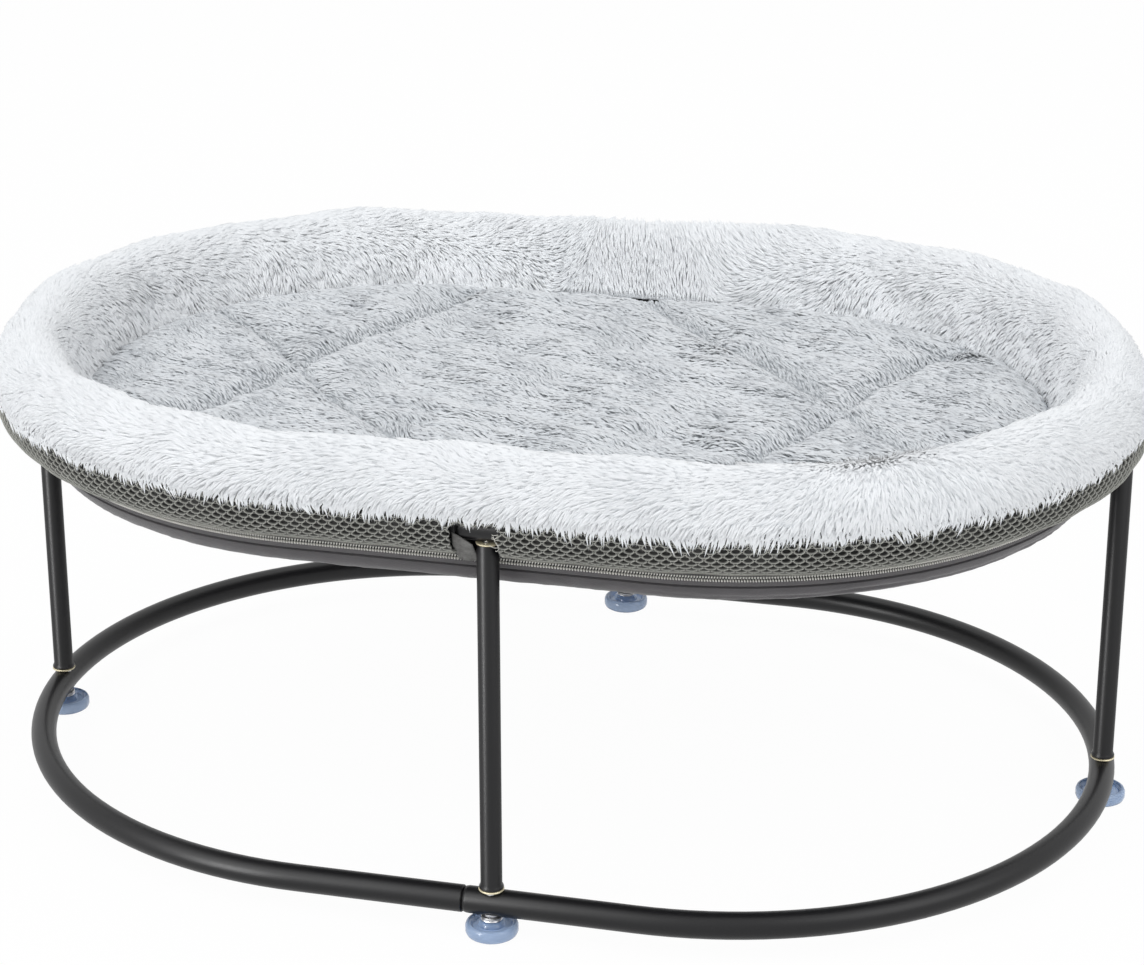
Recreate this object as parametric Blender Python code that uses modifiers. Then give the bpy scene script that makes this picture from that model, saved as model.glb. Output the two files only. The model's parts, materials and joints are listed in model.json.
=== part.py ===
"""A raised oval pet bed: a steel tube stand that carries a zipped plush bed with a quilted pad.

Lengths are in metres, +Z is up. The origin is on the floor under the middle of the oval,
+X runs along the bed and -Y is its front.
"""
import math

import bmesh
import bpy
from mathutils import Matrix, Vector

# Gaps and mesh settings
gap = 0.0003
merge_distance = 0.00001
cut_overrun = 0.004
tube_sides = 12
turned_sides = 12
pad_sides = 16
arc_steps = 15
smooth_angle = math.radians(40)

# Tube stand
oval_length = 0.600
oval_width = 0.4226
tube_diameter = 0.014
tube_wall = 0.001
neck_length = 0.022
neck_tip_round = 0.0006
shoulder_length = 0.0024
post_step = 0.0146
post_diameter = 0.011
post_length = 0.186
post_wall = 0.001
post_foot_plug = 0.010
spigot_diameter = 0.0054
spigot_length = 0.0068
washer_diameter = 0.0118
washer_thickness = 0.0009
bush_diameter = 0.0086
bush_end_inset = 0.0003
nut_length = 0.012
screw_diameter = 0.004
screw_head_diameter = 0.010
screw_head_height = 0.0024

# Levelling feet
foot_pad_diameter = 0.027
foot_pad_height = 0.0082
foot_rim_height = 0.0072
foot_recess_depth = 0.0014
foot_boss_diameter = 0.015
foot_socket_floor = 0.0032
stud_diameter = 0.0054
stud_head_diameter = 0.008
stud_travel = 0.004
stud_engagement = 0.004
collar_diameter = 0.011
collar_height = 0.0022

# Plush bolster and its filling
plush_thickness = 0.0045
filling_gap = 0.0006
filling_tube_gap = 0.0012
bolster_overhang = 0.0125
bolster_reach = 0.037
bolster_rise = 0.031
gutter_drop = 0.0135

# Mesh side band
band_thickness = 0.0026
band_overhang = 0.0126
band_drop = 0.016
window_width = 0.021
window_beside_post = 0.006
window_height = 0.0015

# Zip
zip_slope = math.radians(58)
zip_start = 0.0066
tape_width = 0.0034
tape_thickness = 0.0008
coil_diameter = 0.0018
coil_spacing = 0.0022
slider_length = 0.009
slider_width = 0.0066
slider_plate = 0.0012
slider_lip = 0.0009
slider_place = 0.012
lug_cheek = 0.0009
lug_opening = 0.0044
lug_bar_diameter = 0.0016
lug_length = 0.0032
pull_length = 0.018
pull_width = 0.0052
pull_thickness = 0.0012
pull_neck_width = 0.0036
pull_neck_length = 0.0051
pull_blade_start = 0.0034
pull_eye_wall = 0.0006

# Bottom panel and quilted pad
panel_thickness = 0.0015
panel_drop = 0.0105
panel_reach = 0.0035
pad_side_gap = 0.0027
pad_gutter_gap = 0.0012
pad_edge_height = 0.012
pad_crown = 0.008
pad_floor_gap = 0.0007
pad_cell = 0.036
channel_depth = 0.0055
channel_half_width = 0.011
channel_crossing = 0.152

# Sections as shares of the sizes above
shoulder_middle_share = 0.35
screw_head_shares = ((0.80, 1.00), (1.00, 0.60))
foot_recess_share = 0.80
foot_rim_shares = ((0.86, 1.00), (0.94, 1.00), (1.00, 0.82), (1.00, 0.33), (0.93, 0.08), (0.85, 0.00))
bolster_outer_shares = ((0.85, 0.05), (1.00, 0.27), (0.78, 0.62), (0.10, 0.91))
bolster_inner_shares = ((0.22, 1.00), (0.50, 0.87), (0.73, 0.50), (0.88, 0.02))
band_section_shares = ((0.90, 0.44), (1.00, 0.08), (0.90, -0.35), (0.56, -0.70),
                       (0.00, -0.88), (-1.00, -0.98))
panel_ring_shares = (0.015, 0.04, 0.09, 0.25, 0.60, 1.00)
pad_shoulder_share = 0.33
pad_top_shares = ((0.045, 0.50), (0.11, 0.80), (0.20, 0.94))
channel_turns = (math.radians(70), math.radians(-49))

# Places that follow from the sizes
tube_radius = tube_diameter / 2
bend_radius = oval_width / 2
straight_half = oval_length / 2 - bend_radius
collar_bottom = foot_pad_height + gap
collar_top = collar_bottom + collar_height
base_ring_z = collar_top + gap + tube_radius
low_washer_z = base_ring_z + tube_radius + gap
post_bottom = low_washer_z + washer_thickness + gap
post_top = post_bottom + post_length
top_washer_z = post_top + gap
upper_ring_z = top_washer_z + washer_thickness + gap + tube_radius
upper_tube_top = upper_ring_z + tube_radius
screw_head_z = upper_tube_top + gap
side_post_turn = post_step / bend_radius
front_post = Vector((post_step, -bend_radius, 0))
right_post = Vector((straight_half + bend_radius * math.cos(side_post_turn),
                     bend_radius * math.sin(side_post_turn), 0))
posts = {"front": front_post, "right": right_post, "rear": -front_post, "left": -right_post}
half_turns = {"right": 0.0, "left": math.pi}
facet_turn = Matrix.Rotation(math.pi / tube_sides / 2, 3, "Z").to_quaternion()

# Places along the zip, measured down its slope from the band's lower edge
coil_a_place = tape_width + gap + coil_diameter / 2
coil_b_place = coil_a_place + coil_spacing
lower_tape_place = coil_b_place + coil_diameter / 2 + gap
zip_end = lower_tape_place + tape_width + gap
panel_edge_in = zip_start + zip_end * math.cos(zip_slope)
panel_edge_z = upper_ring_z - band_drop - zip_end * math.sin(zip_slope)


# Scene

def clear_scene():
    for old in list(bpy.data.objects):
        bpy.data.objects.remove(old, do_unlink=True)


def new_collection(name):
    made = bpy.data.collections.new(name)
    bpy.context.scene.collection.children.link(made)
    return made


def finish(name, colour, roughness, metallic=0.0):
    made = bpy.data.materials.new(name)
    made.use_nodes = True
    shader = made.node_tree.nodes["Principled BSDF"]
    shader.inputs["Base Color"].default_value = (*colour, 1.0)
    shader.inputs["Roughness"].default_value = roughness
    shader.inputs["Metallic"].default_value = metallic
    made.diffuse_color = (*colour, 1.0)
    return made


def place(name, mesh, look, spot=(0, 0, 0), turn=0.0):
    """Adds a sub-part that shows a mesh with a finish of its own."""
    piece = bpy.data.objects.new(name, mesh)
    piece.location = spot
    piece.rotation_euler = (0, 0, turn)
    parts.objects.link(piece)
    if not mesh.materials:
        mesh.materials.append(look)
    return piece


def baked(maker):
    """The mesh of an object as its modifiers or curve settings leave it; the object goes."""
    scene = bpy.context.view_layer.depsgraph
    scene.update()
    mesh = bpy.data.meshes.new_from_object(maker.evaluated_get(scene))
    bpy.data.objects.remove(maker, do_unlink=True)
    shape = bmesh.new()
    shape.from_mesh(mesh)
    bmesh.ops.remove_doubles(shape, verts=shape.verts, dist=merge_distance)
    shape.to_mesh(mesh)
    shape.free()
    mesh.shade_smooth()
    mesh.set_sharp_from_angle(angle=smooth_angle)
    return mesh


# Shape makers

def turned_mesh(name, profile, closed=False, sides=turned_sides):
    """A turned piece: its profile of (radius, height) runs down the outer side."""
    mesh = bpy.data.meshes.new(name)
    edges = [(i, i + 1) for i in range(len(profile) - 1)]
    if closed:
        edges.append((len(profile) - 1, 0))
    mesh.from_pydata([(radius, 0, height) for radius, height in profile], edges, [])
    maker = bpy.data.objects.new(name, mesh)
    parts.objects.link(maker)
    screw = maker.modifiers.new("Turning", "SCREW")
    screw.axis = "Z"
    screw.steps = sides
    screw.render_steps = sides
    screw.use_merge_vertices = True
    screw.merge_threshold = merge_distance
    return baked(maker)


def poly_curve(name, points, cyclic):
    """A poly curve through (x, y, z, radius share) points."""
    curve = bpy.data.curves.new(name, "CURVE")
    curve.dimensions = "3D"
    curve.twist_mode = "Z_UP"
    spline = curve.splines.new("POLY")
    spline.points.add(len(points) - 1)
    for target, (x, y, z, share) in zip(spline.points, points):
        target.co = (x, y, z, 1)
        target.radius = share
    spline.use_cyclic_u = cyclic
    return curve


def oval_stations():
    """(middle-line x, outward x, outward y) round the oval, anticlockwise from the front's middle."""
    stations = [(0.0, 0.0, -1.0)]
    for side in (1, -1):
        for step in range(arc_steps + 1):
            angle = side * -math.pi / 2 + math.pi * step / arc_steps
            stations.append((side * straight_half, math.cos(angle), math.sin(angle)))
        stations.append((0.0, 0.0, 1.0 * side))
    return stations[:-1]


def oval_ring(inset, height):
    """Points of the oval drawn inwards from the tube's centre line."""
    reach = bend_radius - inset
    return [Vector((x + reach * out_x, reach * out_y, height)) for x, out_x, out_y in oval_stations()]


def swept_round(name, section):
    """A closed ring that follows the oval; its section is (outward, height) points, clockwise."""
    path = poly_curve(name, [(*point, 1) for point in oval_ring(0, 0)], True)
    outline = poly_curve(name + "_section", [(out, up, 0, 1) for out, up in section], True)
    outline.dimensions = "2D"
    outline_maker = bpy.data.objects.new(name + "_section", outline)
    path.bevel_mode = "OBJECT"
    path.bevel_object = outline_maker
    maker = bpy.data.objects.new(name, path)
    parts.objects.link(maker)
    mesh = baked(maker)
    bpy.data.objects.remove(outline_maker, do_unlink=True)
    return mesh


def inset_section(points, distance):
    """An open section moved to the right of its own direction."""
    moved = []
    for i, point in enumerate(points):
        before = Vector(points[max(i - 1, 0)])
        after = Vector(points[min(i + 1, len(points) - 1)])
        along = (after - before).normalized()
        moved.append((point[0] + along.y * distance, point[1] - along.x * distance))
    return moved


def loft(name, rings, closed_ends):
    """A skin over rings of equal count; with closed ends, the first and last rings meet themselves."""
    shape = bmesh.new()
    rows = [[shape.verts.new(point) for point in ring] for ring in rings]
    count = len(rows[0])
    for lower, upper in zip(rows, rows[1:]):
        for i in range(count):
            j = (i + 1) % count
            shape.faces.new((lower[i], lower[j], upper[j], upper[i]))
    if closed_ends:
        bmesh.ops.remove_doubles(shape, verts=shape.verts, dist=merge_distance)
    mesh = bpy.data.meshes.new(name)
    shape.to_mesh(mesh)
    shape.free()
    return mesh


def box_mesh(name, size, centre):
    shape = bmesh.new()
    bmesh.ops.create_cube(shape, size=1, matrix=Matrix.LocRotScale(centre, None, size))
    mesh = bpy.data.meshes.new(name)
    shape.to_mesh(mesh)
    shape.free()
    return mesh


def rod_mesh(name, radius, length, centre, turn=None):
    shape = bmesh.new()
    bmesh.ops.create_cone(shape, cap_ends=True, segments=turned_sides, radius1=radius, radius2=radius,
                          depth=length, matrix=Matrix.LocRotScale(centre, turn, None))
    mesh = bpy.data.meshes.new(name)
    shape.to_mesh(mesh)
    shape.free()
    return mesh


def combine(piece, mesh, operation):
    """Adds or cuts a shape on a piece with a Boolean whose cutter stays hidden."""
    tool = bpy.data.objects.new(piece.name + "_" + mesh.name, mesh)
    tool.matrix_world = piece.matrix_basis
    tool.hide_render = True
    tool.display_type = "WIRE"
    cutters.objects.link(tool)
    modifier = piece.modifiers.new(mesh.name, "BOOLEAN")
    modifier.operation = operation
    modifier.object = tool


# Tube stand

def half_ring_mesh():
    """One bent half of a ring: a necked end at the front, a plain open end at the back."""
    neck_radius = tube_radius - tube_wall - gap
    front = [
        (-neck_length, neck_radius - neck_tip_round),
        (-neck_length + neck_tip_round, neck_radius),
        (gap, neck_radius),
        (gap + shoulder_length * shoulder_middle_share, (neck_radius + tube_radius) / 2 + gap),
        (gap + shoulder_length, tube_radius),
    ]
    points = [(x, -bend_radius, 0, radius / tube_radius) for x, radius in front]
    for step in range(arc_steps + 1):
        angle = -math.pi / 2 + math.pi * step / arc_steps
        points.append((straight_half + bend_radius * math.cos(angle), bend_radius * math.sin(angle), 0, 1))
    points.append((0, bend_radius, 0, 1))
    curve = poly_curve("half_ring", points, False)
    curve.bevel_depth = tube_radius
    curve.bevel_resolution = tube_sides // 2 - 2
    curve.use_fill_caps = False
    maker = bpy.data.objects.new("half_ring", curve)
    parts.objects.link(maker)
    outer = baked(maker)
    shell = bpy.data.objects.new("half_ring_shell", outer)
    parts.objects.link(shell)
    wall = shell.modifiers.new("Wall", "SOLIDIFY")
    wall.thickness = tube_wall
    wall.offset = -1
    return baked(shell)


def make_rings():
    steel = finish("powder_coated_steel", (0.035, 0.035, 0.037), 0.45, 0.3)
    levels = (("base", base_ring_z, bush_diameter), ("upper", upper_ring_z, screw_diameter))
    for level, height, filler in levels:
        hole_radius = filler / 2 + gap
        mesh = half_ring_mesh()
        for side, turn in half_turns.items():
            half = place(f"{level}_ring_{side}", mesh, steel, (0, 0, height), turn)
            for post in (front_post, right_post):
                name = "hole_front" if post == front_post else "hole_side"
                hole = rod_mesh(name, hole_radius, tube_diameter + cut_overrun, post, facet_turn)
                combine(half, hole, "DIFFERENCE")


def make_bushes():
    steel = finish("zinc_steel", (0.55, 0.55, 0.56), 0.35, 0.9)
    top = tube_radius - bush_end_inset
    hole = spigot_diameter / 2 + gap
    outer = bush_diameter / 2
    mesh = turned_mesh("bush", [(outer, top), (outer, -top), (hole, -top), (hole, top)], closed=True)
    for side, spot in posts.items():
        place(f"thread_bush_{side}", mesh, steel, spot + Vector((0, 0, base_ring_z)))


def make_posts():
    steel = finish("post_steel", (0.035, 0.035, 0.037), 0.42, 0.3)
    outer = post_diameter / 2
    bore = outer - post_wall
    spigot = spigot_diameter / 2
    profile = [(0, post_foot_plug), (bore, post_foot_plug), (bore, post_length), (outer, post_length),
               (outer, 0), (spigot, 0), (spigot, -spigot_length), (0, -spigot_length)]
    mesh = turned_mesh("post", profile)
    for side, spot in posts.items():
        place(f"post_{side}", mesh, steel, spot + Vector((0, 0, post_bottom)))


def make_post_nuts():
    steel = finish("nut_steel", (0.5, 0.5, 0.5), 0.4, 0.9)
    outer = post_diameter / 2 - post_wall - gap
    hole = screw_diameter / 2 + gap
    profile = [(outer, 0), (outer, -nut_length), (hole, -nut_length), (hole, 0)]
    mesh = turned_mesh("nut", profile, closed=True)
    for side, spot in posts.items():
        place(f"post_nut_{side}", mesh, steel, spot + Vector((0, 0, post_top)))


def make_washers():
    brass = finish("pale_brass", (0.78, 0.70, 0.50), 0.35, 0.7)
    outer = washer_diameter / 2
    hole = spigot_diameter / 2 + gap
    profile = [(outer, washer_thickness), (outer, 0), (hole, 0), (hole, washer_thickness)]
    mesh = turned_mesh("washer", profile, closed=True, sides=pad_sides)
    for side, spot in posts.items():
        place(f"low_washer_{side}", mesh, brass, spot + Vector((0, 0, low_washer_z)))
        place(f"top_washer_{side}", mesh, brass, spot + Vector((0, 0, top_washer_z)))


def make_top_screws():
    steel = finish("screw_steel", (0.45, 0.45, 0.46), 0.35, 0.9)
    head = screw_head_diameter / 2
    shaft = screw_diameter / 2
    tip = post_top - nut_length + gap - screw_head_z
    crown = [(head * out, screw_head_height * up) for out, up in screw_head_shares]
    profile = [(0, screw_head_height), *crown, (head, 0), (shaft, 0), (shaft, tip), (0, tip)]
    mesh = turned_mesh("top_screw", profile)
    for side, spot in posts.items():
        place(f"top_screw_{side}", mesh, steel, spot + Vector((0, 0, screw_head_z)))


# Levelling feet

def make_studs():
    steel = finish("stud_steel", (0.62, 0.62, 0.63), 0.3, 0.95)
    shaft = stud_diameter / 2
    collar = collar_diameter / 2
    head = stud_head_diameter / 2
    top = collar_top + stud_travel + stud_engagement
    low = foot_socket_floor + gap
    profile = [(0, top), (shaft, top), (shaft, collar_top), (collar, collar_top), (collar, collar_bottom),
               (head, collar_bottom), (head, low), (0, low)]
    mesh = turned_mesh("stud", profile)
    for side, spot in posts.items():
        place(f"foot_stud_{side}", mesh, steel, spot)


def make_foot_pads():
    plastic = finish("clear_blue_plastic", (0.38, 0.55, 0.80), 0.25)
    rim = foot_pad_diameter / 2
    boss = foot_boss_diameter / 2
    socket = stud_head_diameter / 2 + gap
    recess = foot_rim_height - foot_recess_depth
    edge = [(rim * out, foot_rim_height * up) for out, up in foot_rim_shares]
    profile = [(0, foot_socket_floor), (socket, foot_socket_floor), (socket, foot_pad_height),
               (boss, foot_pad_height), (boss, recess), (rim * foot_recess_share, recess), *edge, (0, 0)]
    mesh = turned_mesh("foot_pad", profile, sides=pad_sides)
    for side, spot in posts.items():
        place(f"foot_pad_{side}", mesh, plastic, spot)


# Plush bed

def bolster_outline():
    """The plush outer face from the mesh band over the crest to the gutter, as (outward, height)."""
    reaches = [(out * bolster_overhang, up) for out, up in bolster_outer_shares]
    reaches += [(-into * bolster_reach, up) for into, up in bolster_inner_shares]
    points = [(reach, upper_tube_top + up * bolster_rise) for reach, up in reaches]
    points.append((-bolster_reach, upper_tube_top - gutter_drop))
    return points


def make_plush_cover():
    plush = finish("plush", (0.80, 0.83, 0.86), 0.95)
    outer = bolster_outline()
    inner = inset_section(outer, -plush_thickness)
    section = outer + inner[::-1]
    place("plush_bolster_cover", swept_round("plush_bolster_cover", section[::-1]), plush)


def make_filling():
    """The fibre ring: it fills the cover, rests over the upper tube and reaches down to the panel."""
    fibre = finish("white_fibre", (0.88, 0.88, 0.87), 0.9)
    crown = inset_section(bolster_outline(), -plush_thickness - filling_gap)
    floor_z = screw_head_z + screw_head_height + gap
    crown[0] = (crown[0][0], floor_z)
    tube_side = tube_radius + filling_tube_gap
    inner = crown[-1][0]
    lower = [
        (inner, panel_height(-inner) + panel_thickness + gap),
        (-panel_edge_in - panel_thickness, panel_edge_z + gap),
        (-zip_start - tape_width, upper_ring_z - band_drop + band_thickness / 2),
        (-tube_side, upper_ring_z - tube_radius),
        (-tube_side, floor_z),
    ]
    place("bolster_filling", swept_round("bolster_filling", (crown + lower)[::-1]), fibre)


def make_mesh_band():
    """The breathable side band, wrapped round the upper tube, with a slot at each post."""
    mesh_cloth = finish("grey_air_mesh", (0.17, 0.175, 0.155), 0.85)
    top = upper_tube_top + bolster_outer_shares[0][1] * bolster_rise - gap
    outer = []
    for out, up in band_section_shares:
        reach = out * band_overhang if out >= 0 else out * zip_start + gap
        outer.append((reach, upper_ring_z + up * band_drop))
    outer[0] = (outer[0][0], top)
    inner = inset_section(outer, band_thickness)
    section = outer + inner[::-1]
    band = place("mesh_side_band", swept_round("mesh_side_band", section), mesh_cloth)
    depth = band_overhang + cut_overrun + zip_start
    height = band_drop + cut_overrun + window_height
    middle = Vector((window_beside_post - window_width / 2, (zip_start - band_overhang) / 2,
                     upper_ring_z + window_height - height / 2))
    for side, spot in posts.items():
        slot = box_mesh("slot_" + side, Vector((window_width, depth + cut_overrun, height)), middle)
        out_x = spot - Vector((max(-straight_half, min(straight_half, spot.x)), 0, 0))
        turn = math.atan2(out_x.y, out_x.x) + math.pi / 2
        slot.transform(Matrix.Translation(spot) @ Matrix.Rotation(turn, 4, "Z"))
        combine(band, slot, "DIFFERENCE")


# Zip

def zip_point(along, proud=0.0):
    """A place on the zip's slope as (outward, height); proud is how far it stands off the outside."""
    out = -zip_start - along * math.cos(zip_slope) + proud * math.sin(zip_slope)
    up = upper_ring_z - band_drop - along * math.sin(zip_slope) - proud * math.cos(zip_slope)
    return (out, up)


def make_zip_tapes():
    tape = finish("zip_tape", (0.27, 0.27, 0.25), 0.8)
    half = tape_thickness / 2
    for name, start in (("zip_tape_upper", 0.0), ("zip_tape_lower", lower_tape_place)):
        end = start + tape_width
        corners = ((start, half), (end, half), (end, -half), (start, -half))
        section = [zip_point(along, proud) for along, proud in corners]
        place(name, swept_round(name, section), tape)


def make_zip_coils():
    nylon = finish("zip_nylon", (0.30, 0.29, 0.26), 0.5)
    radius = coil_diameter / 2
    for name, middle in (("zip_coil_upper", coil_a_place), ("zip_coil_lower", coil_b_place)):
        section = []
        for corner in range(6):
            angle = math.pi * corner / 3
            section.append(zip_point(middle + radius * math.cos(angle), -radius * math.sin(angle)))
        place(name, swept_round(name, section), nylon)


def zip_frame():
    """Turns slider space (X along the zip, Y down its slope, Z off the outside) into the bed's space."""
    out, up = zip_point((coil_a_place + coil_b_place) / 2)
    origin = Vector((slider_place, bend_radius + out, up))
    along = Vector((1, 0, 0))
    down = Vector((0, -math.cos(zip_slope), -math.sin(zip_slope)))
    away = along.cross(down)
    return Matrix.Translation(origin) @ Matrix((along, down, away)).transposed().to_4x4()


def make_slider():
    metal = finish("slider_metal", (0.35, 0.35, 0.35), 0.35, 0.9)
    under = coil_diameter / 2 + gap
    top = under + slider_plate
    lip_low = tape_thickness / 2 + gap
    bar_z = lug_bar_height()
    half_gap = lug_opening / 2
    mesh = box_mesh("slider", Vector((slider_length, slider_width, slider_plate)),
                    Vector((0, 0, under + slider_plate / 2)))
    slider = place("zip_slider", mesh, metal)
    slider.matrix_world = zip_frame()
    lip_height = top - lip_low
    cheek_height = bar_z + lug_bar_diameter - under
    for side in (-1, 1):
        lip_y = side * (slider_width - slider_lip) / 2
        lip = box_mesh(f"lip_{side}", Vector((slider_length, slider_lip, lip_height)),
                       Vector((0, lip_y, lip_low + lip_height / 2)))
        combine(slider, lip, "UNION")
        cheek = box_mesh(f"cheek_{side}", Vector((lug_length, lug_cheek, cheek_height)),
                         Vector((0, side * (half_gap + lug_cheek / 2), under + cheek_height / 2)))
        combine(slider, cheek, "UNION")
    bar = rod_mesh("bar", lug_bar_diameter / 2, lug_opening + lug_cheek, Vector((0, 0, bar_z)),
                   Matrix.Rotation(math.pi / 2, 3, "X").to_quaternion())
    combine(slider, bar, "UNION")


def lug_bar_height():
    return coil_diameter / 2 + gap + slider_plate + gap + pull_eye_radius()


def pull_eye_radius():
    return lug_bar_diameter / 2 + gap + pull_eye_wall


def make_pull():
    """The pull tab: its own space has the lug's bar on Y at the origin, and it hangs along +Z."""
    metal = finish("pull_metal", (0.32, 0.32, 0.32), 0.35, 0.9)
    across = Matrix.Rotation(math.pi / 2, 3, "X").to_quaternion()
    eye = rod_mesh("pull", pull_eye_radius(), pull_neck_width, Vector((0, 0, 0)), across)
    pull = place("zip_pull_tab", eye, metal)
    pull.matrix_world = zip_frame() @ Matrix.Translation((0, 0, lug_bar_height()))
    neck = box_mesh("neck", Vector((pull_thickness, pull_neck_width, pull_neck_length)),
                    Vector((0, 0, pull_neck_length / 2)))
    combine(pull, neck, "UNION")
    blade_length = pull_length - pull_blade_start
    blade = box_mesh("blade", Vector((pull_thickness, pull_width, blade_length)),
                     Vector((0, 0, pull_blade_start + blade_length / 2)))
    combine(pull, blade, "UNION")
    hole = rod_mesh("eye_hole", lug_bar_diameter / 2 + gap, pull_neck_width + cut_overrun,
                    Vector((0, 0, 0)), across)
    combine(pull, hole, "DIFFERENCE")


# Bottom panel and pad

def panel_insets():
    """Distances in from the tube's centre line of the bottom panel's rings, outermost first."""
    width = bend_radius - panel_edge_in
    return [panel_edge_in] + [panel_edge_in + width * share for share in panel_ring_shares]


def panel_sag(inset):
    return panel_edge_z - panel_drop * (1 - math.exp((panel_edge_in - inset) / panel_reach))


def panel_height(inset):
    """Height of the bottom panel's upper face, straight between its rings."""
    insets = panel_insets()
    for outer, inner in zip(insets, insets[1:]):
        if inset <= inner:
            share = (inset - outer) / (inner - outer)
            return panel_sag(outer) * (1 - share) + panel_sag(inner) * share
    return panel_sag(insets[-1])


def make_bottom_panel():
    suede = finish("grey_suede", (0.26, 0.25, 0.28), 0.9)
    rings = [oval_ring(inset, panel_sag(inset)) for inset in panel_insets()]
    panel = place("bottom_panel", loft("bottom_panel", rings, True), suede)
    wall = panel.modifiers.new("Cloth", "SOLIDIFY")
    wall.thickness = panel_thickness
    wall.offset = -1


def channel_share(x, y):
    """How deep a point lies in a sewn channel, from 0 beside it to 1 on its stitch line."""
    deepest = 0.0
    for crossing in (channel_crossing, -channel_crossing):
        for turn in channel_turns:
            distance = abs((x - crossing) * math.sin(turn) - y * math.cos(turn))
            deepest = max(deepest, 1 - distance / channel_half_width)
    return deepest


def cut_top(shape, floor_z, point, normal):
    """Cuts the faces above a height along a plane; the cut's edges stay in the skin."""
    top = [face for face in shape.faces if face.calc_center_median().z > floor_z]
    edges = {edge for face in top for edge in face.edges}
    points = {vertex for face in top for vertex in face.verts}
    bmesh.ops.bisect_plane(shape, geom=[*points, *edges, *top], dist=merge_distance,
                           plane_co=point, plane_no=normal)


def pad_skin():
    """The pad before its quilting: flat-bottomed on the panel and drawn in under the gutter."""
    side_in = bolster_reach - plush_thickness + pad_side_gap
    gutter_in = bolster_reach + pad_gutter_gap
    gutter_z = upper_tube_top - gutter_drop - gap
    low_insets = [inset for inset in reversed(panel_insets()) if inset > side_in + panel_thickness]
    rings = [oval_ring(inset, panel_height(inset) + pad_floor_gap) for inset in low_insets]
    low_z = panel_height(side_in) + pad_floor_gap
    top_z = gutter_z - pad_edge_height
    rings.append(oval_ring(side_in + panel_thickness / 2, low_z))
    rings.append(oval_ring(side_in, (low_z + top_z) / 2))
    rings.append(oval_ring(side_in, top_z))
    rings.append(oval_ring((side_in + gutter_in) / 2, gutter_z - pad_edge_height * pad_shoulder_share))
    rings.append(oval_ring(gutter_in, gutter_z))
    width = bend_radius - gutter_in
    for share, rise in pad_top_shares:
        rings.append(oval_ring(gutter_in + width * share, gutter_z + pad_crown * rise))
    return loft("quilted_pad", rings, True), gutter_z


def make_pad():
    """The quilted pad: its top is cut into cells and along the channels, which are then pressed in."""
    plush = finish("pad_plush", (0.62, 0.65, 0.68), 0.95)
    mesh, gutter_z = pad_skin()
    shape = bmesh.new()
    shape.from_mesh(mesh)
    rim = [edge for edge in shape.edges if edge.is_boundary]
    bmesh.ops.contextual_create(shape, geom=rim)
    for crossing in (channel_crossing, -channel_crossing):
        for turn in channel_turns:
            across = Vector((math.sin(turn), -math.cos(turn), 0))
            for offset in (-channel_half_width, 0, channel_half_width):
                cut_top(shape, gutter_z, Vector((crossing, 0, 0)) + across * offset, across)
    inner_z = gutter_z + pad_crown * pad_top_shares[-1][1] - merge_distance
    for axis, reach in ((Vector((1, 0, 0)), straight_half + bend_radius), (Vector((0, 1, 0)), bend_radius)):
        cells = round(reach / pad_cell)
        for cell in range(-cells, cells + 1):
            cut_top(shape, inner_z, axis * (cell * pad_cell), axis)
    top = [face for face in shape.faces if face.calc_center_median().z > gutter_z]
    bmesh.ops.triangulate(shape, faces=top, quad_method="BEAUTY", ngon_method="BEAUTY")
    for vertex in shape.verts:
        rise = vertex.co.z - gutter_z
        if rise > 0:
            press = channel_share(vertex.co.x, vertex.co.y) * min(rise / pad_crown, 1)
            vertex.co.z -= channel_depth * press
    bmesh.ops.remove_doubles(shape, verts=shape.verts, dist=merge_distance)
    bmesh.ops.recalc_face_normals(shape, faces=shape.faces)
    shape.to_mesh(mesh)
    shape.free()
    mesh.shade_smooth()
    place("quilted_pad", mesh, plush)


clear_scene()
parts = new_collection("raised_oval_pet_bed")
cutters = new_collection("cutters")
make_rings()
make_bushes()
make_posts()
make_post_nuts()
make_washers()
make_top_screws()
make_studs()
make_foot_pads()
make_plush_cover()
make_filling()
make_mesh_band()
make_zip_tapes()
make_zip_coils()
make_slider()
make_pull()
make_bottom_panel()
make_pad()
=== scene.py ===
"""The looks of a raised oval pet bed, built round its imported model.

Lengths are in metres in the model's frame: X runs along the bed, -Y is its front and Z is up.
"""
import json
import math

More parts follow.
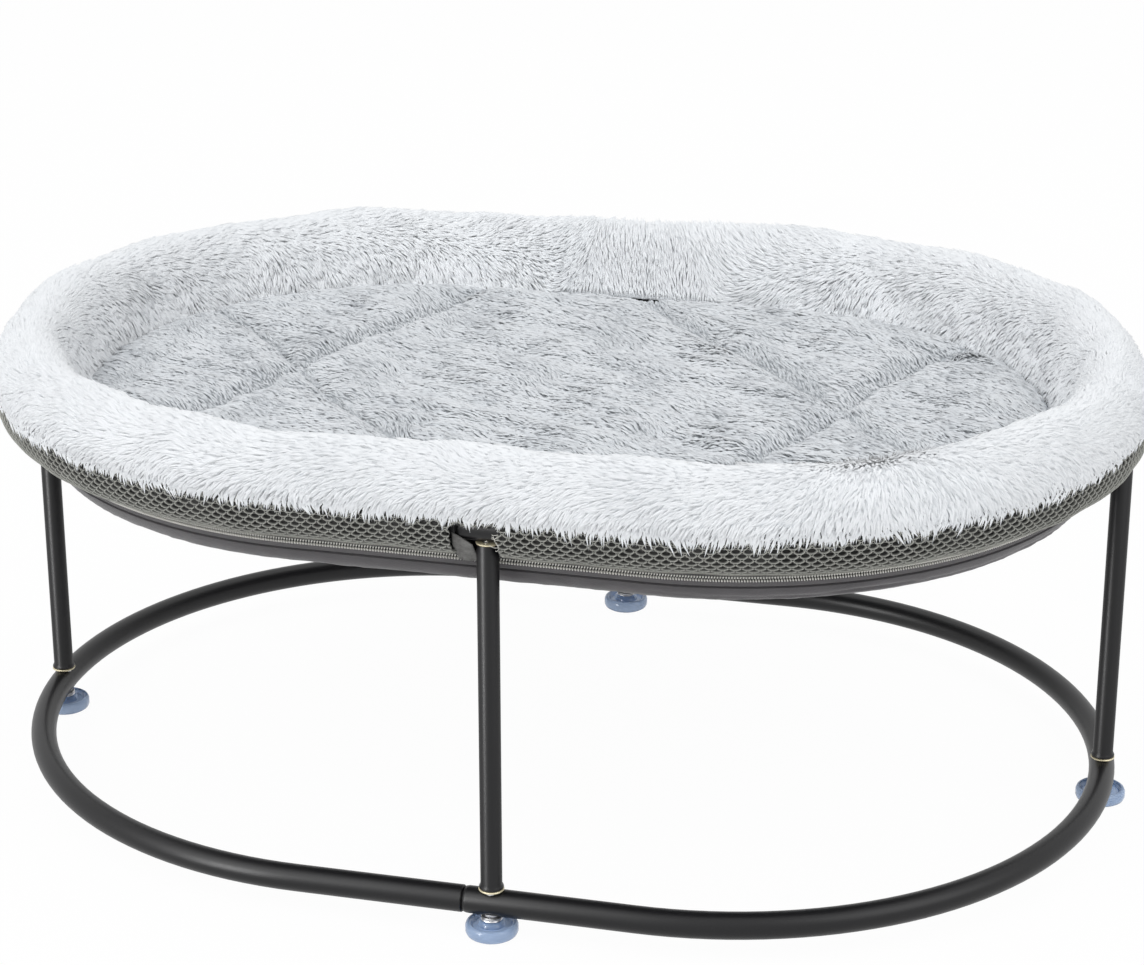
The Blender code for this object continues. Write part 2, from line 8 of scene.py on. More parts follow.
import bpy
import numpy as np
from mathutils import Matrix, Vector

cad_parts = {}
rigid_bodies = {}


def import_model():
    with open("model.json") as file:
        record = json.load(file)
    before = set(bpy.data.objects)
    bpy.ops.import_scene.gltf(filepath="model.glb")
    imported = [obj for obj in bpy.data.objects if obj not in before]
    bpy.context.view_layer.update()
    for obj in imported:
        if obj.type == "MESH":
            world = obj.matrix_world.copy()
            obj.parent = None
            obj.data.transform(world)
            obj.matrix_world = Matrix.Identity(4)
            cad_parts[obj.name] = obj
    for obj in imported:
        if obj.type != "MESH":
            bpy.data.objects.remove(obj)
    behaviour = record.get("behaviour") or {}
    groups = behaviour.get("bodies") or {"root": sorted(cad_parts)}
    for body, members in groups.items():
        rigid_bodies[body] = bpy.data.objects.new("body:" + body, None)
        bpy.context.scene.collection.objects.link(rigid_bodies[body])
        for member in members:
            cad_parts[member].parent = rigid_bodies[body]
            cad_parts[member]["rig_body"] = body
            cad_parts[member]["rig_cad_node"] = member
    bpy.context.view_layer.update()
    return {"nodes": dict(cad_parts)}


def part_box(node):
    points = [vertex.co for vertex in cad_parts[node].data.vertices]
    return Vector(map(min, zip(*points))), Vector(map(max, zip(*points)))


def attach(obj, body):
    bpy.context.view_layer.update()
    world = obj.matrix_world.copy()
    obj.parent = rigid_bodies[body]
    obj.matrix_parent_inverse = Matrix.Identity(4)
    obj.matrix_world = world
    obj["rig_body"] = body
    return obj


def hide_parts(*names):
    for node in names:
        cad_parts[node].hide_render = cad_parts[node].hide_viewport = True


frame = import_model()
body = "stand_and_bed"
sides = ("front", "right", "rear", "left")


def middle_of(node):
    low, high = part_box(node)
    return (low + high) / 2


# Sizes and places read from the model
base_low, base_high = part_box("base_ring_left")
upper_low, upper_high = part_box("upper_ring_left")
tube_radius = (base_high.z - base_low.z) / 2
bend_radius = -base_low.y - tube_radius
side_post = middle_of("post_right")
straight_half = side_post.x - math.sqrt(bend_radius ** 2 - side_post.y ** 2)
perimeter = 4 * straight_half + 2 * math.pi * bend_radius
base_z = (base_low.z + base_high.z) / 2
upper_z = (upper_low.z + upper_high.z) / 2
tube_top = upper_high.z
posts = {side: middle_of("post_" + side) for side in sides}
post_low, post_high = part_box("post_front")
post_radius = (post_high.x - post_low.x) / 2

# Stand
tube_wall = 0.001
neck_length = 0.022
neck_radius = 0.0057
shoulder_length = 0.0024
joint_gap = 0.0003
edge_round = 0.0004
post_lip_height = 0.0016
post_lip_reach = 0.0008
spigot_radius = 0.0027
washer_hole = 0.003
washer_rim = 0.00025
tube_sides = 32
arc_steps = 72
turned_steps = 40

# Plush
pile_depth = 0.0031
pile_length = 0.0078
pile_width = 0.00138
pile_pitch = 0.0014
pile_lift = (0.26, 0.03)
pile_lean = (0.40, 0.60)
lit_rise = 0.45
fringe_reach = 0.07
fringe_swing = (0.0046, 0.0008)
fringe_places = (-0.42, -0.29, -0.20, -0.10, 0.0, 0.06, 0.15, 0.25, 0.33, 0.40)
fringe_shares = (1.00, 1.10, 1.08, 1.02, 1.00, 1.25, 1.18, 1.25, 1.10, 0.80)
pad_pile_length = 0.0074
pad_pile_pitch = 0.00172
clump_pitch = 0.0046
clump_lean = (0.40, 0.95)
ruffled_place = 0.30
ruffled_reach = 0.17
nap_turn = 0.22
nap_turn_reach = 0.045
rear_turn_reach = 0.08
turn_fall = 0.8
parting_share = 0.78
parting_reach = 0.17
comb_shares = (0.0, 0.05, 0.13, 0.25, 0.45, 0.62, 0.80, 1.0)
comb_fall = (-1.0, -0.80, -0.35, -0.15, 0.05, 0.45, 0.90, 1.0)
comb_drift = (0.10, -0.35, -0.90, -1.0, -1.0, -0.80, -0.35, -0.25)
crest_dip = 0.0045
crest_dip_place = 0.10
crest_dip_reach = 0.18
crest_share = 0.42
cover_thickness = 0.0025
filling_gap = 0.0003
filling_thickness = 0.004
bolster_section = (
    (0.0106, 0.0012), (0.0125, 0.0084), (0.0098, 0.0192), (0.0013, 0.0282),
    (-0.0081, 0.0310), (-0.0185, 0.0270), (-0.0270, 0.0155), (-0.0326, 0.0006), (-0.0370, -0.0135),
)

# Mesh band and its lining
band_section = (
    (0.0100, 0.0086), (0.0119, 0.0054), (0.0126, 0.0013), (0.0113, -0.0056), (0.0071, -0.0112),
    (0.0, -0.0141), (-0.0062, -0.0157),
)
net_columns = 300
net_row = 0.0024
net_hole = (0.00200, 0.00122)
net_depth = 0.0012
hem_width = 0.0030
hem_overlap = 0.006
hem_thickness = 0.0008
lining_gap = 0.0016
lining_thickness = 0.0006
slot_left = 0.015
slot_right = 0.0078
slot_top = 0.0036
flap_width = 0.0100
flap_drops = (-0.0015, -0.0205)
flap_line = ((0.0015, 0.008, 0.0145, 0.0205), (0.0066, 0.0058, -0.0010, -0.0055))
flap_thickness = 0.0008
fray_count = 7
fray_radius = 0.00012

# Zip
zip_slope = math.radians(58)
zip_start = 0.0066
zip_drop = 0.0160
zip_end = 0.0117
tape_width = 0.0034
tape_thickness = 0.0008
# Where the upper tape's painted shade along its coil edge begins.
tape_pale_share = 0.45
coil_places = (0.00445, 0.00725)
# A near-black strip behind the coil, as painted shadow in the gap behind the teeth.
shadow_strip_down = 0.0028
shadow_strip_width = 0.0060
shadow_strip_behind = 0.0014
shadow_strip_thickness = 0.0004
tooth_pitch = 0.00137
tooth_size = 0.00086
tooth_share = 0.36
tooth_slant = 0.25
teeth_line_in = 0.0125

# Bottom panel and pad
panel_edge_in = zip_start + zip_end * math.cos(zip_slope)
panel_edge_up = -zip_drop - zip_end * math.sin(zip_slope)
panel_drop = 0.0105
panel_reach = 0.0035
panel_thickness = 0.0012
fold_height = 0.0003
ridge_height = 0.0010
ridge_deep = 0.0032
ridge_middle = 0.26
ridge_reach = 0.16
wave_height = 0.0010
gutter_in = 0.0382
gutter_up = -0.0138
pad_under_share = 0.22
pad_side_share = 0.25
pad_tuck = 0.003
pad_crown = 0.0050
pad_roll = 0.010
pad_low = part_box("quilted_pad")[0].z + 0.0004
channel_depth = 0.0056
channel_reach = 0.0068
channel_crossing = 0.152
channel_turns = (math.radians(70), math.radians(-49))

# Camera, worked out from the photograph's perspective
photo_width = 1144
camera_focus_px = 3002.67
camera_place = (0.3786, -1.4952, 0.7554)
camera_pitch = math.radians(69.012)
camera_turn = math.radians(14.094)
sensor_width = 36.0

# Setting
glow_share = 0.97
lamp_aim = (0, 0, 0.15)


# The oval

def oval(along, out, up):
    """Points beside the tube: along its centre line from the front's middle, out from it, and up."""
    along, out, up = np.broadcast_arrays(along, out, up)
    half = perimeter / 2
    share = np.mod(along, perimeter)
    turn = np.where(share >= half, -1.0, 1.0)
    share = np.mod(share, half)
    arc_length = math.pi * bend_radius
    arc = np.clip(share - straight_half, 0, arc_length) / bend_radius
    bend_x = np.clip(share, 0, straight_half) - np.clip(share - straight_half - arc_length, 0, straight_half)
    reach = bend_radius + out
    return np.stack([turn * (bend_x + reach * np.sin(arc)), -turn * reach * np.cos(arc), up], axis=-1)


def smooth_line(points, count=400):
    """A smooth line through the points, evenly spaced, as (out, up) rows."""
    p = np.array(points)
    p = np.vstack([2 * p[0] - p[1], p, 2 * p[-1] - p[-2]])
    rows = []
    for i in range(1, len(p) - 2):
        t = np.linspace(0, 1, 40, endpoint=False)[:, None]
        a, b, c, d = p[i - 1], p[i], p[i + 1], p[i + 2]
        rows.append(0.5 * (2 * b + (c - a) * t + (2 * a - 5 * b + 4 * c - d) * t ** 2
                           + (3 * b - a - 3 * c + d) * t ** 3))
    line = np.vstack(rows + [p[-2][None]])
    run = np.concatenate([[0], np.cumsum(np.linalg.norm(np.diff(line, axis=0), axis=1))])
    at = np.linspace(0, run[-1], count)
    return np.stack([np.interp(at, run, line[:, k]) for k in range(2)], axis=1), run[-1]


def unit(vectors):
    return vectors / np.maximum(np.linalg.norm(vectors, axis=1), 1e-9)[:, None]


def facing_of(line):
    """The way a section's line faces at each of its points, as (outward, up) rows."""
    step = unit(np.gradient(line, axis=0))
    return np.stack([step[:, 1], -step[:, 0]], axis=1)


class Section:
    """A smooth section that is swept round the oval, read by a share of its length."""

    def __init__(self, points, height, inset=0.0):
        line, _ = smooth_line(points)
        line, self.length = smooth_line(line[::8] - facing_of(line)[::8] * inset)
        self.line = line + np.array([0, height])
        self.facing = facing_of(line)
        self.shares = np.linspace(0, 1, len(line))

    def read(self, rows, share):
        return [np.interp(share, self.shares, rows[:, k]) for k in range(2)]

    def skin(self, along, share, lift=0.0):
        """Points of the swept section, lifted off it."""
        out, up = self.read(self.line, share)
        face_out, face_up = self.read(self.facing, share)
        return oval(along, out + face_out * lift, up + face_up * lift)


def ripples(seed, count, coarse, fine):
    """A smooth uneven field round the oval, about -1 to 1, that closes on itself."""
    draw = np.random.default_rng(seed)
    sizes = np.exp(draw.uniform(math.log(fine), math.log(coarse), count))
    rounds = np.maximum(1, np.round(perimeter / sizes)) * draw.choice([-1, 1], count)
    tilt = draw.uniform(-1, 1, count) / sizes
    start = draw.uniform(0, 2 * math.pi, count)

    def field(along, across):
        total = 0.0
        for turns, slope, phase in zip(rounds, tilt, start):
            total = total + np.sin(2 * math.pi * (turns * along / perimeter + slope * across) + phase)
        return total / math.sqrt(count / 2) / 1.6
    return field


# Modelling helpers

def deselect():
    for piece in bpy.context.selected_objects:
        piece.select_set(False)


def added(name):
    """The object that the last operator added, named."""
    piece = bpy.context.object
    piece.name = name
    piece.data.name = name
    return piece
def linked(name, data):
    """An object of the data, in the scene."""
    piece = bpy.data.objects.new(name, data)
    bpy.context.collection.objects.link(piece)
    return piece

def only(piece):
    deselect()
    piece.select_set(True)
    bpy.context.view_layer.objects.active = piece


def edit(piece, *steps):
    """Runs edit-mode operators on all of a piece."""
    only(piece)
    bpy.ops.object.mode_set(mode="EDIT")
    bpy.ops.mesh.select_all(action="SELECT")
    for step, settings in steps:
        step(**settings)
    bpy.ops.object.mode_set(mode="OBJECT")


def weld(piece, distance=0.00002):
    edit(piece, (bpy.ops.mesh.remove_doubles, {"threshold": distance}))


def face_out(piece):
    edit(piece, (bpy.ops.mesh.normals_make_consistent, {"inside": False}))


def finish_with(piece, kind, **settings):
    """Adds a modifier and applies it."""
    only(piece)
    modifier = piece.modifiers.new(kind.title(), kind)
    for key, value in settings.items():
        setattr(modifier, key, value)
    bpy.ops.object.modifier_apply(modifier=modifier.name)
def thicken(piece, thickness, offset=-1.0):
    finish_with(piece, "SOLIDIFY", thickness=thickness, offset=offset)

def smooth(piece, degrees=None):
    only(piece)
    if degrees is None:
        bpy.ops.object.shade_smooth()
    else:
        bpy.ops.object.shade_smooth_by_angle(angle=math.radians(degrees))


def points_of(piece):
    flat = np.empty(len(piece.data.vertices) * 3, np.float32)
    piece.data.vertices.foreach_get("co", flat)
    return flat.reshape(-1, 3).astype(float)


def set_points(piece, points):
    piece.data.vertices.foreach_set("co", np.ascontiguousarray(points, np.float32).ravel())
    piece.data.update()


def cloth_strip(name, columns, rows):
    """A flat piece of cloth from 0 to 1 in X and in Y, ready to be laid out."""
    deselect()
    bpy.ops.mesh.primitive_grid_add(x_subdivisions=columns, y_subdivisions=rows, size=1,
                                    location=(0.5, 0.5, 0), calc_uvs=True)
    piece = added(name)
    bpy.ops.object.transform_apply(location=True, rotation=True, scale=True)
    return piece


def lay_round(name, columns, rows, place):
    """A strip sewn into a ring: place turns (along, share across) into points."""
    piece = cloth_strip(name, columns, rows)
    flat = points_of(piece)
    set_points(piece, place(flat[:, 0] * perimeter, flat[:, 1]))
    weld(piece)
    face_out(piece)
    smooth(piece)
    return piece


def turned(name, profile, spot, steps=turned_steps, angle=40):
    """A turned piece: its profile of (radius, height) is spun round the spot's own axis."""
    deselect()
    mesh = bpy.data.meshes.new(name)
    mesh.from_pydata([(spot.x + r, spot.y, z) for r, z in profile],
                     [(i, i + 1) for i in range(len(profile) - 1)], [])
    piece = linked(name, mesh)
    edit(piece,
         (bpy.ops.mesh.spin, {"steps": steps, "angle": 2 * math.pi, "center": (spot.x, spot.y, 0),
                              "axis": (0, 0, 1)}),
         (bpy.ops.mesh.select_all, {"action": "SELECT"}),
         (bpy.ops.mesh.remove_doubles, {"threshold": 0.00001}),
         (bpy.ops.mesh.normals_make_consistent, {"inside": False}))
    smooth(piece, angle)
    return piece
def tubes(name, paths, radius, resolution, twist="MINIMUM", caps=False):
    """Round tubes or threads along paths of (x, y, z, share of the radius) rows."""
    curve = bpy.data.curves.new(name, "CURVE")
    curve.dimensions = "3D"
    curve.twist_mode = twist
    for path in paths:
        spline = curve.splines.new("POLY")
        spline.points.add(len(path) - 1)
        for target, (*place, share) in zip(spline.points, path):
            target.co = (*place, 1)
            target.radius = share
    curve.bevel_depth = radius
    curve.bevel_resolution = resolution
    curve.use_fill_caps = caps
    only(linked(name, curve))
    bpy.ops.object.convert(target="MESH")
    return bpy.context.object

def put(piece, look, slot_name, *nodes, on=body):
    """Gives a piece its finish and its body, and hides the model's nodes that it stands for."""
    piece.data.materials.clear()
    piece.data.materials.append(look)
    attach(piece, on)
    if nodes:
        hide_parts(*nodes)
    return piece


# Finishes

def node_group(name, inputs):
    """A group of nodes that takes numbers and gives a shade and a height."""
    group = bpy.data.node_groups.new(name, "ShaderNodeTree")
    for socket, value in inputs.items():
        made = group.interface.new_socket(name=socket, in_out="INPUT", socket_type="NodeSocketFloat")
        made.default_value = value
    for socket in ("Shade", "Height"):
        group.interface.new_socket(name=socket, in_out="OUTPUT", socket_type="NodeSocketFloat")
    return group, group.nodes.new("NodeGroupInput"), group.nodes.new("NodeGroupOutput")


def feed(tree, value, socket):
    """Links an output to a socket, or sets the socket to a plain value."""
    if isinstance(value, bpy.types.NodeSocket):
        tree.links.new(value, socket)
    else:
        socket.default_value = value


def math_node(tree, operation, *values):
    node = tree.nodes.new("ShaderNodeMath")
    node.operation = operation
    for socket, value in zip(node.inputs, values):
        feed(tree, value, socket)
    return node.outputs[0]


def map_place(tree, chart=None):
    """The X and Y outputs of a piece's first map, or of the map that is named."""
    source = tree.nodes.new("ShaderNodeUVMap" if chart else "ShaderNodeTexCoord")
    if chart:
        source.uv_map = chart
    split = tree.nodes.new("ShaderNodeSeparateXYZ")
    tree.links.new(source.outputs["UV"], split.inputs[0])
    return split.outputs


def ramp(tree, place, *stops):
    """A colour that changes along a place, by stops of (position, colour)."""
    node = tree.nodes.new("ShaderNodeValToRGB")
    steps = node.color_ramp.elements
    for step, (position, colour) in zip(steps, (stops[0], stops[-1])):
        step.position, step.color = position, (*colour, 1)
    for position, colour in stops[1:-1]:
        steps.new(position).color = (*colour, 1)
    tree.links.new(place, node.inputs["Fac"])
    return node.outputs["Color"]


def make_grain():
    """Uneven shade and fine relief, for anything moulded, coated or brushed."""
    group, given, result = node_group("grain", {"Scale": 900.0, "Patches": 30.0, "Fine": 0.1, "Broad": 0.1})
    place = group.nodes.new("ShaderNodeTexCoord").outputs["Object"]
    waves = []
    for size, strength in (("Scale", "Fine"), ("Patches", "Broad")):
        noise = group.nodes.new("ShaderNodeTexNoise")
        noise.inputs["Detail"].default_value = 3.0
        group.links.new(place, noise.inputs["Vector"])
        group.links.new(given.outputs[size], noise.inputs["Scale"])
        centred = math_node(group, "SUBTRACT", noise.outputs["Fac"], 0.5)
        waves.append((centred, math_node(group, "MULTIPLY", centred, given.outputs[strength])))
    shade = math_node(group, "ADD", waves[0][1], waves[1][1])
    group.links.new(math_node(group, "ADD", shade, 1.0), result.inputs["Shade"])
    group.links.new(waves[0][0], result.inputs["Height"])
    return group


def make_weave():
    """Over-and-under threads on the piece's own UV map."""
    group, given, result = node_group("weave", {"Along": 2000.0, "Across": 8.0, "Depth": 0.3})
    place = map_place(group)
    lines = []
    for axis, count in (("X", "Along"), ("Y", "Across")):
        turns = math_node(group, "MULTIPLY", place[axis], given.outputs[count])
        lines.append(math_node(group, "SINE", math_node(group, "MULTIPLY", turns, 2 * math.pi)))
    both = math_node(group, "MULTIPLY", lines[0], lines[1])
    group.links.new(both, result.inputs["Height"])
    shade = math_node(group, "MULTIPLY", both, given.outputs["Depth"])
    group.links.new(math_node(group, "ADD", shade, 1.0), result.inputs["Shade"])
    return group


def material(name, colour, roughness, **plain):
    """A finish with plain values; returns it with its node tree and shader."""
    look = bpy.data.materials.new(name)
    look.use_nodes = True
    shader = look.node_tree.nodes["Principled BSDF"]
    shader.inputs["Base Color"].default_value = (*colour, 1)
    for key, value in {"Roughness": roughness, **plain}.items():
        shader.inputs[key.replace("_", " ")].default_value = value
    return look, look.node_tree, shader


def use(tree, group, values):
    node = tree.nodes.new("ShaderNodeGroup")
    node.node_tree = group
    for key, value in values.items():
        node.inputs[key].default_value = value
    return node.outputs


def finish_by(tree, shader, shade, colour, height, distance):
    """Gives the shader a colour times a shade, and a relief."""
    mix = tree.nodes.new("ShaderNodeVectorMath")
    mix.operation = "SCALE"
    feed(tree, colour, mix.inputs[0])
    tree.links.new(shade, mix.inputs["Scale"])
    tree.links.new(mix.outputs[0], shader.inputs["Base Color"])
    bump = tree.nodes.new("ShaderNodeBump")
    bump.inputs["Distance"].default_value = distance
    tree.links.new(height, bump.inputs["Height"])
    tree.links.new(bump.outputs["Normal"], shader.inputs["Normal"])


def patterned(name, colour, roughness, relief, group, values, **plain):
    look, tree, shader = material(name, colour, roughness, **plain)
    pattern = use(tree, group, values)
    finish_by(tree, shader, pattern["Shade"], colour, pattern["Height"], relief)
    return look


def grained(name, colour, roughness, scale=900.0, patches=30.0, fine=0.1, broad=0.1, relief=0.00002,
            **plain):
    values = {"Scale": scale, "Patches": patches, "Fine": fine, "Broad": broad}
    return patterned(name, colour, roughness, relief, grain, values, **plain)


def woven(name, colour, roughness, along, across, depth, relief):
    values = {"Along": along, "Across": across, "Depth": depth}
    return patterned(name, colour, roughness, relief, weave, values, Sheen_Weight=0.2)


def tape_look(name, pale, shaded_edge, roughness):
    """Zip tape: woven, with painted shade along the edge that its coil is sewn to."""
    look, tree, shader = material(name, pale, roughness, Sheen_Weight=0.2)
    pattern = use(tree, weave, {"Along": 1100, "Across": 5, "Depth": 0.3})
    colour = ramp(tree, map_place(tree)["Y"], (tape_pale_share, pale), (tape_pale_share + 0.05, shaded_edge))
    finish_by(tree, shader, pattern["Shade"], colour, pattern["Height"], 0.0002)
    return look


def net_look(name, colour, roughness):
    """Air mesh: uneven yarn, with painted shade that darkens the walls of its holes, read from a point
    attribute set by depth.
    """
    look, tree, shader = material(name, colour, roughness, Sheen_Weight=0.15)
    pattern = use(tree, grain, {"Scale": 2500, "Patches": 60, "Fine": 0.6, "Broad": 0.25})
    hole_shade = tree.nodes.new("ShaderNodeAttribute")
    hole_shade.attribute_name = "hole_shade"
    depth = tree.nodes.new("ShaderNodeMapRange")
    depth.inputs["To Min"].default_value = 1.0
    depth.inputs["To Max"].default_value = 0.12
    tree.links.new(hole_shade.outputs["Fac"], depth.inputs["Value"])
    shade = math_node(tree, "MULTIPLY", pattern["Shade"], depth.outputs["Result"])
    finish_by(tree, shader, shade, colour, pattern["Height"], 0.0001)
    return look


def pile_look(name, root, middle, tip, grey_tip):
    """Pile colour from its own map: V runs up a lock from a root darkened as painted shade among the locks,
    and U goes from pale locks to grey ones.
    """
    look, tree, shader = material(name, tip, 0.85, Sheen_Weight=0.25, Specular_IOR_Level=0.2)
    place = map_place(tree, "OFBake")
    mix = tree.nodes.new("ShaderNodeMix")
    mix.data_type = "RGBA"
    tree.links.new(place["X"], mix.inputs[0])
    for socket, last in ((6, tip), (7, grey_tip)):
        colour = ramp(tree, place["Y"], (0.0, root), (0.45, middle), (1.0, last))
        tree.links.new(colour, mix.inputs[socket])
    tree.links.new(mix.outputs[2], shader.inputs["Base Color"])
    return look


grain = make_grain()
weave = make_weave()
coat = grained("black_powder_coat", (0.007, 0.007, 0.008), 0.38, scale=1500, fine=0.25, broad=0.15,
               relief=0.00003, Specular_IOR_Level=0.34)
zinc = grained("zinc_plate", (0.62, 0.62, 0.63), 0.32, scale=1200, fine=0.15, Metallic=0.9)
brass = grained("pale_brass_washer", (0.80, 0.72, 0.50), 0.34, scale=1500, Metallic=0.35)
blue_plastic = grained("clear_blue_plastic", (0.30, 0.42, 0.64), 0.18, scale=300, fine=0.05,
                       Transmission_Weight=0.35, IOR=1.45)
plush_skin = grained("plush_backing", (0.82, 0.845, 0.87), 0.95, scale=700, patches=60, fine=0.4,
                     broad=0.2, relief=0.0004)
pad_skin = grained("pad_backing", (0.50, 0.53, 0.56), 0.95, scale=700, patches=60, fine=0.4, broad=0.2,
                   relief=0.0004)
# Roots are darker than tips as painted shade down among the locks; the pad's roots are painted much darker.
plush_pile = pile_look("plush_pile", (0.80, 0.83, 0.86), (0.87, 0.895, 0.92), (0.89, 0.91, 0.935),
                       (0.50, 0.54, 0.58))
pad_pile = pile_look("pad_pile", (0.32, 0.35, 0.38), (0.64, 0.67, 0.70), (0.84, 0.865, 0.89),
                     (0.18, 0.20, 0.23))
net_cloth = net_look("olive_air_mesh", (0.43, 0.435, 0.40), 0.8)
hem_cloth = woven("mesh_hem", (0.28, 0.28, 0.25), 0.8, 900, 6, 0.35, 0.0002)
# The lining behind the mesh is near-black, far darker than the grey felt flaps, as painted shade seen
# through the holes.
shaded_lining_cloth = grained("lining_painted_shade", (0.028, 0.028, 0.027), 0.9, scale=1800, patches=90, fine=0.6,
                       broad=0.5, relief=0.0003)
felt = grained("grey_felt", (0.165, 0.164, 0.158), 0.9, scale=900, patches=220, fine=0.8, broad=1.2,
               relief=0.0004)
# The upper tape's near-black edge colour is painted shade beside the coil.
tape_cloth = tape_look("zip_tape_weave", (0.21, 0.21, 0.195), (0.02, 0.02, 0.02), 0.8)
low_tape_cloth = woven("zip_lower_tape_weave", (0.095, 0.090, 0.096), 0.85, 1100, 5, 0.4, 0.0002)
# Near-black cloth for the painted shadow strip behind the zip's coil.
shadow_strip_cloth = woven("zip_painted_shadow_weave", (0.02, 0.02, 0.02), 0.9, 1100, 5, 0.3, 0.0001)
nylon = grained("zip_nylon", (0.72, 0.71, 0.67), 0.42, scale=2000, fine=0.2)
slider_metal = grained("gunmetal", (0.20, 0.20, 0.21), 0.32, fine=0.2, Metallic=0.9)
suede = grained("grey_violet_suede", (0.060, 0.056, 0.061), 0.85, scale=1600, patches=45, fine=0.4,
                broad=0.7, relief=0.0002, Sheen_Weight=0.4)
fibre = grained("filling_fibre", (0.80, 0.80, 0.79), 0.9, scale=900, fine=0.3, relief=0.0005)
thread = grained("cream_thread", (0.66, 0.65, 0.60), 0.8, scale=3000, fine=0.3)


# Pile

# A lock has three corners at its root, three at its middle and a tip
lock_corners = np.array((0, 1, 4, 3, 1, 2, 5, 4, 2, 0, 3, 5, 3, 4, 6, 4, 5, 6, 5, 3, 6, 2, 1, 0))
lock_sides = (4, 4, 4, 3, 3, 3, 3)
lock_heights = (0.02, 0.02, 0.02, 0.5, 0.5, 0.5, 0.98)
lock_spread = np.array((-0.02, 0.02, 0.0, -0.02, 0.02, 0.0, 0.0))


def lay_pile(name, locks, grey, look, slot_name, relief, swing=0.0):
    """Fur as separate bent spikes: each leaves the skin, then bends over along its lay."""
    roots, tip, facing, lay, length, width = locks
    count = len(roots)
    side = np.cross(lay, facing)
    side /= np.linalg.norm(side, axis=1)[:, None]
    middle = roots + (facing * pile_lift[0] + lay * pile_lean[0]) * length[:, None] + swing
    under = np.cross(tip - middle, side)
    under /= np.linalg.norm(under, axis=1)[:, None]
    half = width[:, None] / 2
    base = roots - facing * (half * 0.6)
    corners = [(0.87, 0.5), (-0.87, 0.5), (0.0, -0.9)]
    low = [base + (side * x + lay * y * 0.8) * half * 0.8 for x, y in corners]
    high = [middle + (side * x + under * y * 0.7) * half for x, y in corners]
    points = np.stack([*low, *high, tip], axis=1).reshape(-1, 3)
    loops = (lock_corners + (np.arange(count) * 7)[:, None]).ravel()
    starts = np.cumsum([0, *np.tile(lock_sides, count)])[:-1]
    mesh = bpy.data.meshes.new(name)
    mesh.vertices.add(len(points))
    mesh.vertices.foreach_set("co", points.astype(np.float32).ravel())
    mesh.loops.add(len(loops))
    mesh.loops.foreach_set("vertex_index", loops.astype(np.int32))
    mesh.polygons.add(len(starts))
    mesh.polygons.foreach_set("loop_start", starts.astype(np.int32))
    mesh.update(calc_edges=True)
    mesh.shade_smooth()
    u = np.clip(grey, 0.03, 0.97)[:, None] + lock_spread
    v = np.tile(lock_heights, count)
    chart = mesh.uv_layers.new(name="OFBake")
    uv = np.stack([u.ravel()[loops], v[loops]], axis=1)
    chart.uv.foreach_set("vector", uv.astype(np.float32).ravel())
    axis = np.stack([base] * 3 + [middle] * 3 + [tip + under * half], axis=1).reshape(-1, 3)
    lit = unit(facing + np.array([0, 0, lit_rise]))
    normals = unit(points - axis) * relief + np.repeat(lit, 7, axis=0) * (1.2 - relief)
    mesh.normals_split_custom_set_from_vertices(unit(normals).tolist())
    return put(linked(name, mesh), look, slot_name)


def clumped(a, b, draw_seed, closes=False):
    """The middle of the clump that each lock belongs to, from a grid of moved points."""
    draw = np.random.default_rng(draw_seed)
    pitch = perimeter / round(perimeter / clump_pitch)
    column = np.floor(a / pitch).astype(int)
    row = np.floor(b / pitch).astype(int)
    i, j = column - column.min(), row - row.min()
    if closes:
        i = np.mod(column, round(perimeter / pitch))
    shift = draw.uniform(0.2, 0.8, (i.max() + 1, j.max() + 1, 2))
    stretch = draw.uniform(0.75, 1.2, (i.max() + 1, j.max() + 1))
    return (column + shift[i, j, 0]) * pitch, (row + shift[i, j, 1]) * pitch, stretch[i, j]


def laid(lay, facing):
    """A lay without the part of it that leaves the skin."""
    return unit(lay - facing * (lay * facing).sum(1)[:, None])


def grow(draw, skin, way, own, clump, tousle, length, pull):
    """Roots, tips, facings, lays, lengths and widths of locks, drawn towards their clump's tip."""
    roots = skin(*own)
    facing, lay = way(*own)
    lay = laid(unit(lay + unit(draw.normal(size=lay.shape)) * tousle), facing)
    length = length * draw.uniform(0.8, 1.15, len(roots))
    clump_facing, clump_lay = way(*clump)
    tips = roots + (facing * sum(pile_lift) + lay * sum(pile_lean)) * length[:, None]
    bent = clump_facing * clump_lean[0] + clump_lay * clump_lean[1]
    clump_tips = skin(*clump) + bent * length[:, None]
    tips = tips + (clump_tips - tips) * (draw.uniform(*pull[:2], len(roots)) + pull[2])[:, None]
    return roots, tips, facing, lay, length, pile_width * draw.uniform(0.7, 1.25, len(roots))


